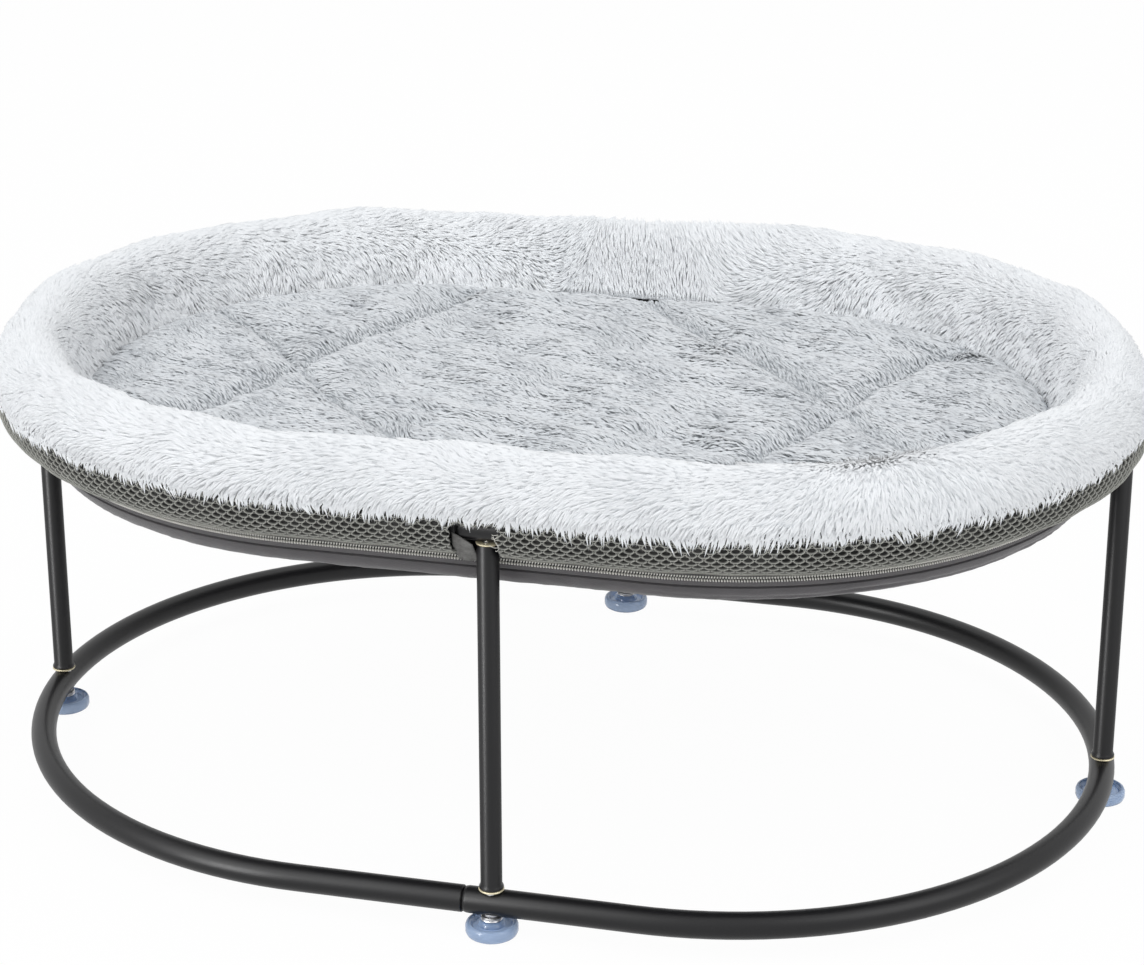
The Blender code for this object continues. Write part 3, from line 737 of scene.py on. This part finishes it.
def make_bolster_pile(cover):
    """Long pile. Its nap turns over near the front right and again at the middle of the rear."""
    draw = np.random.default_rng(11)
    columns = round(perimeter / pile_pitch)
    rows = round(cover.length / pile_pitch)
    wander = ripples(21, 9, 0.16, 0.03)
    sway = ripples(22, 9, 0.09, 0.02)
    patch = ripples(23, 8, 0.30, 0.05)
    s, t = np.meshgrid(np.arange(columns), np.arange(rows), indexing="ij")
    s = (s.ravel() + draw.uniform(-0.5, 0.5, s.size)) / columns * perimeter
    t = (t.ravel() + draw.uniform(0.0, 1.0, t.size)) / rows
    order = np.argsort(s, kind="stable")
    s, t = s[order], t[order]
    warp = wander(s, t * cover.length) * clump_pitch * 0.5
    clump_s, clump_d, stretch = clumped(s + warp, t * cover.length + warp, 31, closes=True)
    clump_s, clump_t = clump_s - warp, np.clip((clump_d - warp) / cover.length, 0, 1)

    def skin(s, t):
        return cover.skin(s, t, bolster_lumps(s, t))

    def way(s, t):
        turned_over = 1 + np.tanh((s - nap_turn) / nap_turn_reach)
        nap = 1 - turned_over * (1 + np.tanh((perimeter / 2 - s) / rear_turn_reach)) / 2
        still = turn_fall * np.sqrt(np.maximum(1 - nap ** 2, 0))
        front = s < perimeter / 4
        part = np.where(front, -np.clip((parting_share - t) / parting_reach, 0, 1), -1.0)
        ahead = unit(cover.skin(s + 0.001, t) - cover.skin(s - 0.001, t))
        over = unit(cover.skin(s, np.clip(t + 0.004, 0, 1)) - cover.skin(s, np.clip(t - 0.004, 0, 1)))
        facing = unit(np.cross(ahead, over))
        fall = np.interp(t, comb_shares, comb_fall) * np.where(front, 1.0, np.abs(nap)) + still * part
        drift = np.interp(t, comb_shares, comb_drift) * nap
        turn = 0.24 * wander(s, t * cover.length) + 0.16 * sway(s, t * cover.length)
        across = fall * np.cos(turn) - drift * np.sin(turn)
        onward = drift * np.cos(turn) + fall * np.sin(turn)
        return facing, unit(over * across[:, None] + ahead * onward[:, None])

    ruffled = np.exp(-(((s - ruffled_place) / ruffled_reach) ** 2))
    edge = np.exp(-t / fringe_reach)
    hang = np.interp(np.mod(s + perimeter / 2, perimeter) - perimeter / 2, fringe_places, fringe_shares)
    locks = grow(draw, skin, way, (s, t), (clump_s, clump_t), (0.20 + 0.45 * ruffled)[:, None],
                 pile_length * stretch * (1 + (hang - 1) * edge), (0.10, 0.35, 0.15 * np.exp(-t / 0.05)))
    swing = unit(locks[2] * np.array([1, 1, 0])) * fringe_swing[0] + np.array([0, 0, fringe_swing[1]])
    swing = swing * edge[:, None]
    locks[1][:] += swing
    # Grey flecks are painted shade in the gaps, more where the nap is ruffled and down the inner wall; the
    # rest of the grey is random tone.
    shade_flecks = draw.random(len(s)) < 0.03 + 0.10 * ruffled + 0.08 * np.clip((t - 0.5) / 0.2, 0, 1)
    grey = 0.14 + 0.14 * patch(s, t * 0.1) + draw.normal(0, 0.14, len(s)) + 0.6 * shade_flecks
    grey = np.clip(grey, 0, 1)
    inner = draw.random(len(s)) < np.clip((t - 0.45) / 0.25, 0, 1)
    for kind, chosen, relief in (("outer", ~inner, 0.18), ("inner", inner, 0.42)):
        for number, part in enumerate(np.array_split(np.flatnonzero(chosen), 3), 1):
            pile = lay_pile(f"plush_pile_{kind}_{number}", [values[part] for values in locks], grey[part],
                            plush_pile, "plush", relief, swing[part])
            pile.visible_shadow = kind == "inner"


bolster_waves = ripples(5, 8, 0.30, 0.07)


def bolster_lumps(along, share):
    """How far the stuffed cover stands off its even section; its crest dips at the rear left."""
    edge = np.clip(np.minimum(share, 1 - share) / 0.2, 0, 1)
    dip = np.exp(-((along - perimeter / 2 - crest_dip_place) / crest_dip_reach) ** 2
                 - ((share - crest_share) / 0.22) ** 2)
    return (0.0013 * bolster_waves(along, share * 0.1) - crest_dip * dip) * edge


def make_bolster():
    """The stuffed plush cover: its skin lies under the pile, and is turned in at both edges."""
    for name, columns, rows, inset, thickness, look, slot_name, node in (
            ("plush_cover", 420, 36, pile_depth, cover_thickness, plush_skin, "plush",
             "plush_bolster_cover"),
            ("filling_roll", 240, 24, pile_depth + cover_thickness + filling_gap, filling_thickness, fibre,
             "fibre", "bolster_filling")):
        section = Section(bolster_section, tube_top, inset)
        piece = lay_round(name, columns, rows, lambda s, t: section.skin(s, t, bolster_lumps(s, t)))
        thicken(piece, thickness)
        smooth(piece)
        put(piece, look, slot_name, node)
    make_bolster_pile(Section(bolster_section, tube_top, pile_depth))


# Pad

def inside_oval(x, y, inset):
    """How far points lie inside the oval that is drawn in by an inset from the tube."""
    beyond = np.maximum(np.abs(x) - straight_half, 0)
    return bend_radius - inset - np.hypot(beyond, y)


pad_waves = ripples(6, 10, 0.20, 0.05)


def pad_top(x, y):
    """Height of the pad's skin: crowned, rolled over at its edge, and pressed in along its channels."""
    edge = np.maximum(inside_oval(x, y, gutter_in), 0)
    rise = pad_crown * (1 - np.exp(-edge / pad_roll))
    waves = 0.0011 * pad_waves(x + 3 * y, y)
    keep = np.clip(edge / 0.02, 0, 1)
    return tube_top + gutter_up + rise + (waves - channel_depth * pad_pressed(x, y)) * keep


def pad_pressed(x, y):
    """How far the quilting presses the pad in, from 0 to 1 along the middle of a channel."""
    pressed = np.zeros_like(x)
    for crossing in (channel_crossing, -channel_crossing):
        for turn in channel_turns:
            off = (x - crossing) * math.sin(turn) - y * math.cos(turn)
            bend = 0.003 * np.sin(y / 0.024 + crossing * 40)
            pressed = np.maximum(pressed, np.exp(-np.abs((off + bend) / channel_reach) ** 1.4))
    return pressed


def make_pad():
    """The quilted pad: top, rolled edge, drawn-in side and the underside that lies on the panel."""
    inner = bend_radius - gutter_in

    def place(along, share):
        top = np.clip((share - pad_under_share) / (1 - pad_under_share), 0, 1)
        under = np.clip((pad_under_share - share) / pad_under_share, 0, 1)
        below = np.clip(under - pad_side_share, 0, 1) / (1 - pad_side_share)
        fallen = np.clip(under / pad_side_share, 0, 1)
        inset = gutter_in + inner * np.where(share < pad_under_share, below, top ** 1.15)
        spots = oval(along, pad_tuck * np.sin(fallen * math.pi) - inset, 0)
        side = tube_top + gutter_up + (pad_low - tube_top - gutter_up) * fallen
        spots[:, 2] = np.where(under > 0, side, pad_top(spots[:, 0], spots[:, 1]))
        return spots

    piece = lay_round("pad_cushion", 320, 100, place)
    put(piece, pad_skin, "pad_plush", "quilted_pad")
    make_pad_pile()


def make_pad_pile():
    """Pile over the pad, combed along the bed in slow swirls."""
    draw = np.random.default_rng(12)
    reach_x = straight_half + bend_radius - gutter_in
    reach_y = bend_radius - gutter_in
    x = np.arange(-reach_x, reach_x, pad_pile_pitch)
    y = np.arange(-reach_y, reach_y, pad_pile_pitch)
    x, y = (grid.ravel() for grid in np.meshgrid(x, y, indexing="ij"))
    x = x + draw.uniform(-0.5, 0.5, x.size) * pad_pile_pitch
    y = y + draw.uniform(-0.5, 0.5, y.size) * pad_pile_pitch
    inside = inside_oval(x, y, gutter_in) > 0.0005
    x, y = x[inside], y[inside]
    swirl = ripples(24, 9, 0.16, 0.04)
    sway = ripples(25, 8, 0.05, 0.02)
    patch = ripples(26, 8, 0.12, 0.03)
    warp = sway(x, y) * clump_pitch * 0.6
    clump_x, clump_y, stretch = clumped(x + warp, y + warp, 32)
    clump_x, clump_y = clump_x - warp, clump_y - warp

    def skin(x, y):
        return np.stack([x, y, pad_top(x, y)], axis=1)

    def way(x, y):
        step = 0.0012
        slope_x = (pad_top(x + step, y) - pad_top(x - step, y)) / (2 * step)
        slope_y = (pad_top(x, y + step) - pad_top(x, y - step)) / (2 * step)
        facing = unit(np.stack([-slope_x, -slope_y, np.ones_like(x)], axis=1))
        angle = 0.55 * swirl(x, y) + 0.22 * sway(x, y) + math.pi
        away_x = (pad_pressed(x - step, y) - pad_pressed(x + step, y)) * 3.2
        away_y = (pad_pressed(x, y - step) - pad_pressed(x, y + step)) * 3.2
        lay = np.stack([np.cos(angle) + away_x, np.sin(angle) + away_y, np.zeros_like(x)], axis=1)
        return facing, laid(lay, facing)

    pressed = pad_pressed(x, y)
    locks = grow(draw, skin, way, (x, y), (clump_x, clump_y), 0.25,
                 pad_pile_length * stretch * (1 - 0.4 * pressed), (0.15, 0.5, 0.0))
    # Grey flecks are painted shade, most of them in the pressed channels; the rest of the grey is random
    # tone.
    shade_flecks = draw.random(len(x)) < 0.06 + 0.45 * pressed
    grey = np.clip(0.20 + 0.26 * patch(x, y) + draw.normal(0, 0.24, len(x)) + 0.5 * shade_flecks, 0, 1)
    for number, part in enumerate(np.array_split(np.arange(len(x)), 4), 1):
        lay_pile(f"pad_pile_{number}", [values[part] for values in locks], grey[part], pad_pile,
                 "pad_plush", 0.5)


# Mesh side band

def post_along(side):
    """How far round the oval a post stands."""
    along = posts["front"].x
    if side in ("right", "left"):
        along = straight_half + (math.pi / 2 + math.asin(side_post.y / bend_radius)) * bend_radius
    return along + (perimeter / 2 if side in ("rear", "left") else 0)


def in_slot(along, up):
    """True for points inside one of the slots that the posts come up through."""
    cut = np.zeros(len(along), bool)
    for side in sides:
        off = np.mod(along - post_along(side) + perimeter / 2, perimeter) - perimeter / 2
        cut |= (off > -slot_left) & (off < slot_right) & (up < upper_z + slot_top)
    return cut


def net_cell(pitch):
    """One cell of the air mesh: an oval hole with a rolled rim, in a six-sided tile."""
    deselect()
    bpy.ops.mesh.primitive_circle_add(vertices=12, radius=1, fill_type="NGON", location=(0, 0, 0))
    cell = added("net_cell")
    edit(cell,
         (bpy.ops.mesh.inset, {"thickness": 0.3}),
         (bpy.ops.mesh.extrude_region_move, {"TRANSFORM_OT_translate": {"value": (0, 0, -1)}}),
         (bpy.ops.mesh.delete, {"type": "ONLY_FACE"}))
    points = points_of(cell)
    radius = np.hypot(points[:, 0], points[:, 1])
    angle = np.arctan2(points[:, 1], points[:, 0])
    x, y = np.cos(angle), np.sin(angle)
    outer = radius > 0.9
    deep = points[:, 2] < -0.5
    half, row = pitch / 2, net_row
    tile = np.minimum(half / np.maximum(np.abs(x), 1e-6),
                      (2 * row / 3) / np.maximum(np.abs(y) + np.abs(x) * (row / 3) / half, 1e-6))
    across = np.where(outer, tile * x, net_hole[0] * x)
    up = np.where(outer, tile * y, net_hole[1] * y)
    depth = np.where(outer, 0.00035, np.where(deep, -net_depth, -0.00015))
    set_points(cell, np.stack([across, up, depth], axis=1))
    return cell


def make_band():
    """The breathable side band: real holes, a plain hem, a real lining whose near-black tone is painted
    shade, and a raw slot at each post.
    """
    pitch = perimeter / net_columns
    band = Section(band_section, upper_z)
    net_share = 1 - hem_width / band.length
    rows = int(net_share * band.length / net_row)
    net = net_cell(pitch)
    for count, step in ((net_columns, (pitch, 0, 0)), (rows, (pitch / 2, net_row, 0))):
        finish_with(net, "ARRAY", count=count, use_relative_offset=False, use_constant_offset=True,
                    constant_offset_displace=step, use_merge_vertices=True, merge_threshold=0.00001)
    net.name = "air_mesh_band"
    along, up, depth = points_of(net).T
    # Painted shade: the hole walls are darkened by how deep they lie.
    hole_shade = net.data.attributes.new("hole_shade", "FLOAT", "POINT")
    hole_shade.data.foreach_set("value", np.interp(depth, (-net_depth, -0.0001, 0.0003), (1.0, 0.7, 0.0)))
    share = net_share - (up + net_row / 2) / band.length
    set_points(net, band.skin(along, share, -(depth + band_waver(along, share))))
    drop_points(net, in_slot(along, band.read(band.line, share)[1]))
    weld(net)
    smooth(net)
    put(net, net_cloth, "air_mesh", "mesh_side_band")
    start = net_share - hem_overlap / band.length

    def hem_place(along, share):
        spot = start + (1 - start) * share
        bulge = 0.0001 + 0.0002 * np.sin(share * math.pi)
        return band.skin(along, spot, -(bulge + band_waver(along, spot)))

    def lining_place(along, share):
        return band.skin(along, share, lining_gap + 0.0003 * np.sin(along / 0.004))

    extra = []
    for name, columns, rows, place, thickness, offset, look in (
            ("band_hem", 900, 6, hem_place, hem_thickness, -1.0, hem_cloth),
            ("band_lining", 700, 14, lining_place, lining_thickness, 0.0, shaded_lining_cloth)):
        piece = lay_round(name, columns, rows, place)
        points = points_of(piece)
        drop_points(piece, in_slot(along_of(points), points[:, 2]))
        thicken(piece, thickness, offset)
        extra.append(put(piece, look, "air_mesh"))
    extra += [make_flap(side) for side in sides]
    extra += [make_frays(side, number, band) for number, side in enumerate(sides)]


def make_flap(side):
    """The felt flap that hangs in a slot, between its raw left edge and the post."""
    flap = cloth_strip("slot_flap_" + side, 10, 16)
    across, fall, _ = points_of(flap).T
    along = post_along(side) - slot_left - 0.001 + across * flap_width
    down = flap_drops[0] - 0.006 * across * (1 - fall) + (flap_drops[1] - flap_drops[0]) * fall
    creases = 0.0005 * np.sin(along / 0.0011 + fall * 5) * fall
    out = np.interp(-down, *flap_line) + creases
    set_points(flap, oval(along, out, upper_z + down))
    thicken(flap, flap_thickness, 0.0)
    smooth(flap)
    return put(flap, felt, "air_mesh")


def make_frays(side, number, band):
    """Cream threads that stand off a slot's raw right edge."""
    draw = np.random.default_rng(40 + number)
    start = post_along(side) + slot_right
    steps = np.linspace(0, 1, 6)
    paths = []
    for _ in range(fray_count):
        share = draw.uniform(0.16, 0.52)
        length = draw.uniform(0.002, 0.005)
        turn = draw.uniform(-1.2, 1.2)
        bend = draw.uniform(-0.5, 0.5)
        along = start + 0.001 - length * steps * math.cos(turn)
        spot = np.clip(share + length * (steps * math.sin(turn) + bend * steps ** 2) / band.length, 0, 1)
        points = band.skin(along, spot, -(0.0004 + 0.0007 * np.sin(steps * math.pi)))
        paths.append([(*point, 1) for point in points])
    piece = tubes("slot_frays_" + side, paths, fray_radius, 1, caps=True)
    smooth(piece)
    return put(piece, thread, "air_mesh")


waver = ripples(7, 8, 0.20, 0.03)


def band_waver(along, share):
    return 0.0004 * waver(along, share * 0.03)


def drop_points(piece, chosen):
    """Deletes the chosen points of a piece with their faces."""
    only(piece)
    bpy.ops.object.mode_set(mode="EDIT")
    bpy.ops.mesh.select_mode(type="VERT")
    bpy.ops.object.mode_set(mode="OBJECT")
    for parts in (piece.data.polygons, piece.data.edges):
        parts.foreach_set("select", np.zeros(len(parts), bool))
    piece.data.vertices.foreach_set("select", chosen)
    bpy.ops.object.mode_set(mode="EDIT")
    bpy.ops.mesh.delete(type="VERT")
    bpy.ops.object.mode_set(mode="OBJECT")


def along_of(points):
    """How far round the oval each point lies: the reverse of oval()."""
    x, y = points[:, 0], points[:, 1]
    right = np.arctan2(x - straight_half, -y) * bend_radius + straight_half
    left = np.arctan2(-(x + straight_half), y) * bend_radius + straight_half + perimeter / 2
    along = np.where(y < 0, x, perimeter / 2 - x)
    along = np.where(x > straight_half, right, along)
    return np.where(x < -straight_half, left, along)


# Zip

def zip_place(along, down, proud):
    """A place on the zip's slope: down it from the band's edge, and proud of its outside."""
    out = -zip_start - down * math.cos(zip_slope) + proud * math.sin(zip_slope)
    up = upper_z - zip_drop - down * math.sin(zip_slope) - proud * math.cos(zip_slope)
    return oval(along, out, up)


def make_zip():
    """Two woven tapes, a near-black strip behind the coil as painted shadow, and two rows of coil teeth."""
    lower_start = coil_places[1] + tooth_size
    for name, start, cloth in (("zip_tape_upper", 0.0, tape_cloth),
                               ("zip_tape_lower", lower_start, low_tape_cloth)):
        tape = lay_round(name + "_cloth", 500, 4,
                         lambda s, t: zip_place(s, start + t * tape_width, tape_thickness / 2))
        thicken(tape, tape_thickness)
        put(tape, cloth, "zip_tape", name)
    # Painted shadow: a near-black strip in the open gap behind the coil teeth.
    shadow_strip = lay_round("zip_painted_shadow_strip", 500, 4,
                        lambda s, t: zip_place(s, shadow_strip_down + t * shadow_strip_width, -shadow_strip_behind))
    thicken(shadow_strip, shadow_strip_thickness)
    put(shadow_strip, shadow_strip_cloth, "zip_tape")
    teeth = round((perimeter - 2 * math.pi * teeth_line_in) / tooth_pitch)
    pitch = perimeter / teeth
    for row, (name, place) in enumerate(zip(("zip_coil_upper", "zip_coil_lower"), coil_places)):
        deselect()
        bpy.ops.mesh.primitive_uv_sphere_add(segments=8, ring_count=5, radius=1, location=(0, 0, 0))
        tooth = added(name + "_tooth")
        one = points_of(tooth) * np.array([tooth_pitch * tooth_share, tooth_size, tooth_size])
        one[:, 0] += one[:, 1] * tooth_slant * (1 if row else -1)
        faces = [tuple(face.vertices) for face in tooth.data.polygons]
        bpy.data.objects.remove(tooth, do_unlink=True)
        steps = (np.arange(teeth) + row / 2) * pitch
        along = (one[:, 0] * (pitch / tooth_pitch) + steps[:, None]).ravel()
        spots = zip_place(along, place + np.tile(one[:, 1], teeth), np.tile(one[:, 2], teeth))
        every = [tuple(point + len(one) * i for point in face) for i in range(teeth) for face in faces]
        mesh = bpy.data.meshes.new(name)
        mesh.from_pydata(spots.tolist(), [], every)
        piece = linked(name + "_teeth", mesh)
        face_out(piece)
        smooth(piece)
        put(piece, nylon, "zip_nylon", name)


# Bottom panel

panel_waves = ripples(8, 9, 0.16, 0.05)
panel_creases = ripples(9, 12, 0.05, 0.012)


def make_bottom_panel():
    """The suede panel: it drops from the zip, sags under the pad, and wrinkles near its edge."""
    inner = bend_radius - panel_edge_in

    def place(along, share):
        deep = inner * share ** 2.2
        slope = panel_drop / panel_reach * np.exp(-deep / panel_reach)
        fold = fold_height * np.exp(-((deep - 0.005) / 0.005) ** 2)
        fold = fold * (np.abs(panel_creases(along, deep * 6)) - 0.5)
        line = ridge_deep + 0.0006 * np.sin(along / 0.019)
        ridge = ridge_height * np.exp(-((deep - line) / 0.0005) ** 2)
        ridge = ridge * np.exp(-((along - ridge_middle) / ridge_reach) ** 4)
        broad = wave_height * panel_waves(along, deep) * np.clip(deep / 0.06, 0, 1)
        push = (fold - ridge + broad - 0.0004) * np.clip(share / 0.03, 0, 1) / np.sqrt(1 + slope ** 2)
        up = upper_z + panel_edge_up - panel_drop * (1 - np.exp(-deep / panel_reach))
        return oval(along, slope * push - panel_edge_in - deep, up - push)

    panel = lay_round("suede_panel", 400, 50, place)
    thicken(panel, panel_thickness)
    smooth(panel)
    put(panel, suede, "suede", "bottom_panel")


# Stand

def half_ring(name, height, turn, node):
    """One bent half of a ring: a necked end with its shoulder, and a plain open end."""
    half = perimeter / 2
    arc_length = math.pi * bend_radius
    stops = [(-neck_length, neck_radius - edge_round), (-neck_length + edge_round, neck_radius),
             (joint_gap, neck_radius), (joint_gap + shoulder_length * 0.3, neck_radius + 0.0009),
             (joint_gap + shoulder_length, tube_radius), (straight_half, tube_radius)]
    stops += [(straight_half + arc_length * i / arc_steps, tube_radius) for i in range(1, arc_steps + 1)]
    stops += [(half - edge_round, tube_radius), (half, tube_radius - edge_round)]
    path = []
    for along, radius in stops:
        x, y, _ = oval(np.array([along]), 0.0, 0.0)[0] if along > 0 else (along, -bend_radius, 0)
        if along >= half - edge_round:
            x, y = half - along, bend_radius
        path.append((x * turn, y * turn, height, radius / tube_radius))
    piece = tubes(name, [path], tube_radius, tube_sides // 2 - 2, "Z_UP")
    weld(piece, 0.00001)
    face_out(piece)
    thicken(piece, tube_wall)
    smooth(piece, 40)
    put(piece, coat, "powder_coat", node)


def make_stand():
    for level, height in (("base", base_z), ("upper", upper_z)):
        for side, turn in (("right", 1), ("left", -1)):
            half_ring(f"{level}_tube_{side}", height, turn, f"{level}_ring_{side}")
    low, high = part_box("post_front")
    tube_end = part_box("low_washer_front")[1].z + joint_gap
    lip_top = tube_end + post_lip_height
    lip = post_radius + post_lip_reach
    for side in sides:
        spot = posts[side]
        profile = [(0, high.z - 0.001), (post_radius - 0.0012, high.z - 0.001),
                   (post_radius - 0.0006, high.z), (post_radius - 0.0002, high.z),
                   (post_radius, high.z - 0.0003), (post_radius, lip_top + 0.0008),
                   (post_radius + 0.0004, lip_top), (lip, tube_end + 0.0007), (lip, tube_end + 0.0003),
                   (lip - 0.0004, tube_end), (spigot_radius, tube_end), (spigot_radius, low.z), (0, low.z)]
        put(turned("post_tube_" + side, profile, spot), coat, "powder_coat", "post_" + side)
        for level, spread in (("low", 0.0006), ("top", 0.0)):
            node = f"{level}_washer_{side}"
            under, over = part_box(node)
            outer = (over.x - under.x) / 2 + spread
            profile = [(washer_hole, over.z), (outer - washer_rim, over.z), (outer, over.z - washer_rim),
                       (outer, under.z + washer_rim), (outer - washer_rim, under.z),
                       (washer_hole, under.z), (washer_hole, over.z)]
            put(turned(f"{level}_washer_ring_{side}", profile, spot), brass, "pale_brass", node)


def make_feet():
    """Blue clear discs with a recessed top, on threaded studs with a collar."""
    for side in sides:
        spot = posts[side]
        low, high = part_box("foot_pad_" + side)
        rim = (high.x - low.x) / 2
        top = high.z
        edge = top - 0.001
        profile = [(0, 0.0032), (0.0043, 0.0032), (0.0043, top), (0.0058, top), (0.0066, top - 0.0005),
                   (0.0072, edge - 0.0016), (0.0096, edge - 0.0021), (0.0104, edge - 0.0012),
                   (0.0112, edge - 0.0001), (0.0120, edge), (0.0129, edge - 0.0006), (rim, edge - 0.0019),
                   (rim, 0.0024), (rim - 0.0006, 0.0010), (rim - 0.0018, 0.0002), (rim - 0.0026, 0), (0, 0)]
        put(turned("foot_disc_" + side, profile, spot, 56, 50), blue_plastic, "clear_blue_pvc",
            "foot_pad_" + side, on="foot_pad_" + side)
        s_low, s_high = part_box("foot_stud_" + side)
        collar_low, collar_high = top + 0.0003, top + 0.0025
        profile = [(0, s_high.z), (spigot_radius, s_high.z), (spigot_radius, collar_high),
                   (0.0050, collar_high), (0.0055, collar_high - 0.0004), (0.0055, collar_high - 0.0008),
                   (0.0048, collar_high - 0.0010), (0.0053, collar_high - 0.0014),
                   (0.0055, collar_low + 0.0004), (0.0050, collar_low), (0.0040, collar_low),
                   (0.0040, s_low.z), (0, s_low.z)]
        put(turned("foot_stud_turned_" + side, profile, spot, 40, 30), zinc, "zinc",
            "foot_stud_" + side, on="foot_stud_" + side)


# What stays as the model has it

def dress_nodes():
    for start in ("thread_bush", "post_nut", "top_screw"):
        for side in sides:
            finishes = frame["nodes"][f"{start}_{side}"].data.materials
            finishes.clear()
            finishes.append(zinc)


def soften(node, name, look, slot_name, on):
    """A copy of a machined node with its doubles merged and its edges broken."""
    source = frame["nodes"][node]
    piece = source.copy()
    piece.data = source.data.copy()
    piece.name = name
    piece.parent = None
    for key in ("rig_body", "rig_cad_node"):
        del piece[key]
    bpy.context.collection.objects.link(piece)
    edit(piece, (bpy.ops.mesh.remove_doubles, {"threshold": 0.00001}),
         (bpy.ops.mesh.dissolve_limited, {"angle_limit": math.radians(2)}))
    finish_with(piece, "BEVEL", width=0.0002, segments=2, limit_method="ANGLE", angle_limit=math.radians(30))
    smooth(piece, 35)
    put(piece, look, slot_name, node, on=on)


# Floor, lamps and camera

def seen_directly(tree):
    """One where a surface is seen by the camera, in a reflection or through plastic."""
    rays = tree.nodes.new("ShaderNodeLightPath").outputs
    straight = math_node(tree, "MAXIMUM", rays["Is Camera Ray"], rays["Is Transmission Ray"])
    return math_node(tree, "MAXIMUM", straight, rays["Is Glossy Ray"])


def make_setting():
    deselect()
    bpy.ops.mesh.primitive_plane_add(size=14, location=(0, 0, 0))
    floor = added("floor")
    look, tree, shader = material("white_floor", (0.92, 0.92, 0.92), 0.9, Specular_IOR_Level=0.1)
    glow = tree.nodes.new("ShaderNodeEmission")
    glow.inputs["Strength"].default_value = 1.0
    mix = tree.nodes.new("ShaderNodeMixShader")
    share = math_node(tree, "MULTIPLY", seen_directly(tree), glow_share)
    for output, socket in zip((share, shader.outputs[0], glow.outputs[0]), mix.inputs):
        tree.links.new(output, socket)
    tree.links.new(mix.outputs[0], tree.nodes["Material Output"].inputs["Surface"])
    floor.data.materials.append(look)
    world = bpy.data.worlds.new("studio")
    bpy.context.scene.world = world
    world.use_nodes = True
    back = world.node_tree.nodes["Background"]
    level = math_node(world.node_tree, "MULTIPLY", seen_directly(world.node_tree), 0.5)
    level = math_node(world.node_tree, "ADD", level, 0.5)
    world.node_tree.links.new(level, back.inputs["Strength"])
    back.inputs["Color"].default_value = (1, 1, 1, 1)
    lamps = (("key", (-1.5, -1.7, 1.9), (2.2, 2.2), 38.5), ("fill", (1.9, -0.8, 1.6), (1.8, 1.8), 20),
             ("top", (0.0, 0.5, 2.6), (2.4, 2.4), 17), ("strip", (-1.3, -1.75, 0.55), (0.35, 1.1), 28))
    for name, place, size, energy in lamps:
        lamp = bpy.data.lights.new(name, "AREA")
        lamp.shape = "RECTANGLE"
        lamp.size, lamp.size_y = size
        lamp.energy = energy
        holder = linked(name, lamp)
        holder.location = place
        aim = Vector(lamp_aim) - Vector(place)
        holder.rotation_euler = aim.to_track_quat("-Z", "Y").to_euler()
        holder.visible_diffuse = name != "strip"


def make_camera():
    data = bpy.data.cameras.new("camera")
    data.sensor_width = sensor_width
    data.lens = camera_focus_px / photo_width * sensor_width
    data.clip_end = 50
    camera = linked("camera", data)
    camera.location = camera_place
    camera.rotation_euler = (camera_pitch, 0, camera_turn)
    bpy.context.scene.camera = camera


make_camera()
make_setting()
make_stand()
make_feet()
dress_nodes()
soften("zip_slider", "slider_body", slider_metal, "zip_metal", "zip_slider")
soften("zip_pull_tab", "pull_tab_blade", slider_metal, "zip_metal", "zip_pull_tab")
make_bolster()
make_pad()
make_band()
make_zip()
make_bottom_panel()
bpy.context.scene.view_settings.view_transform = "Standard"
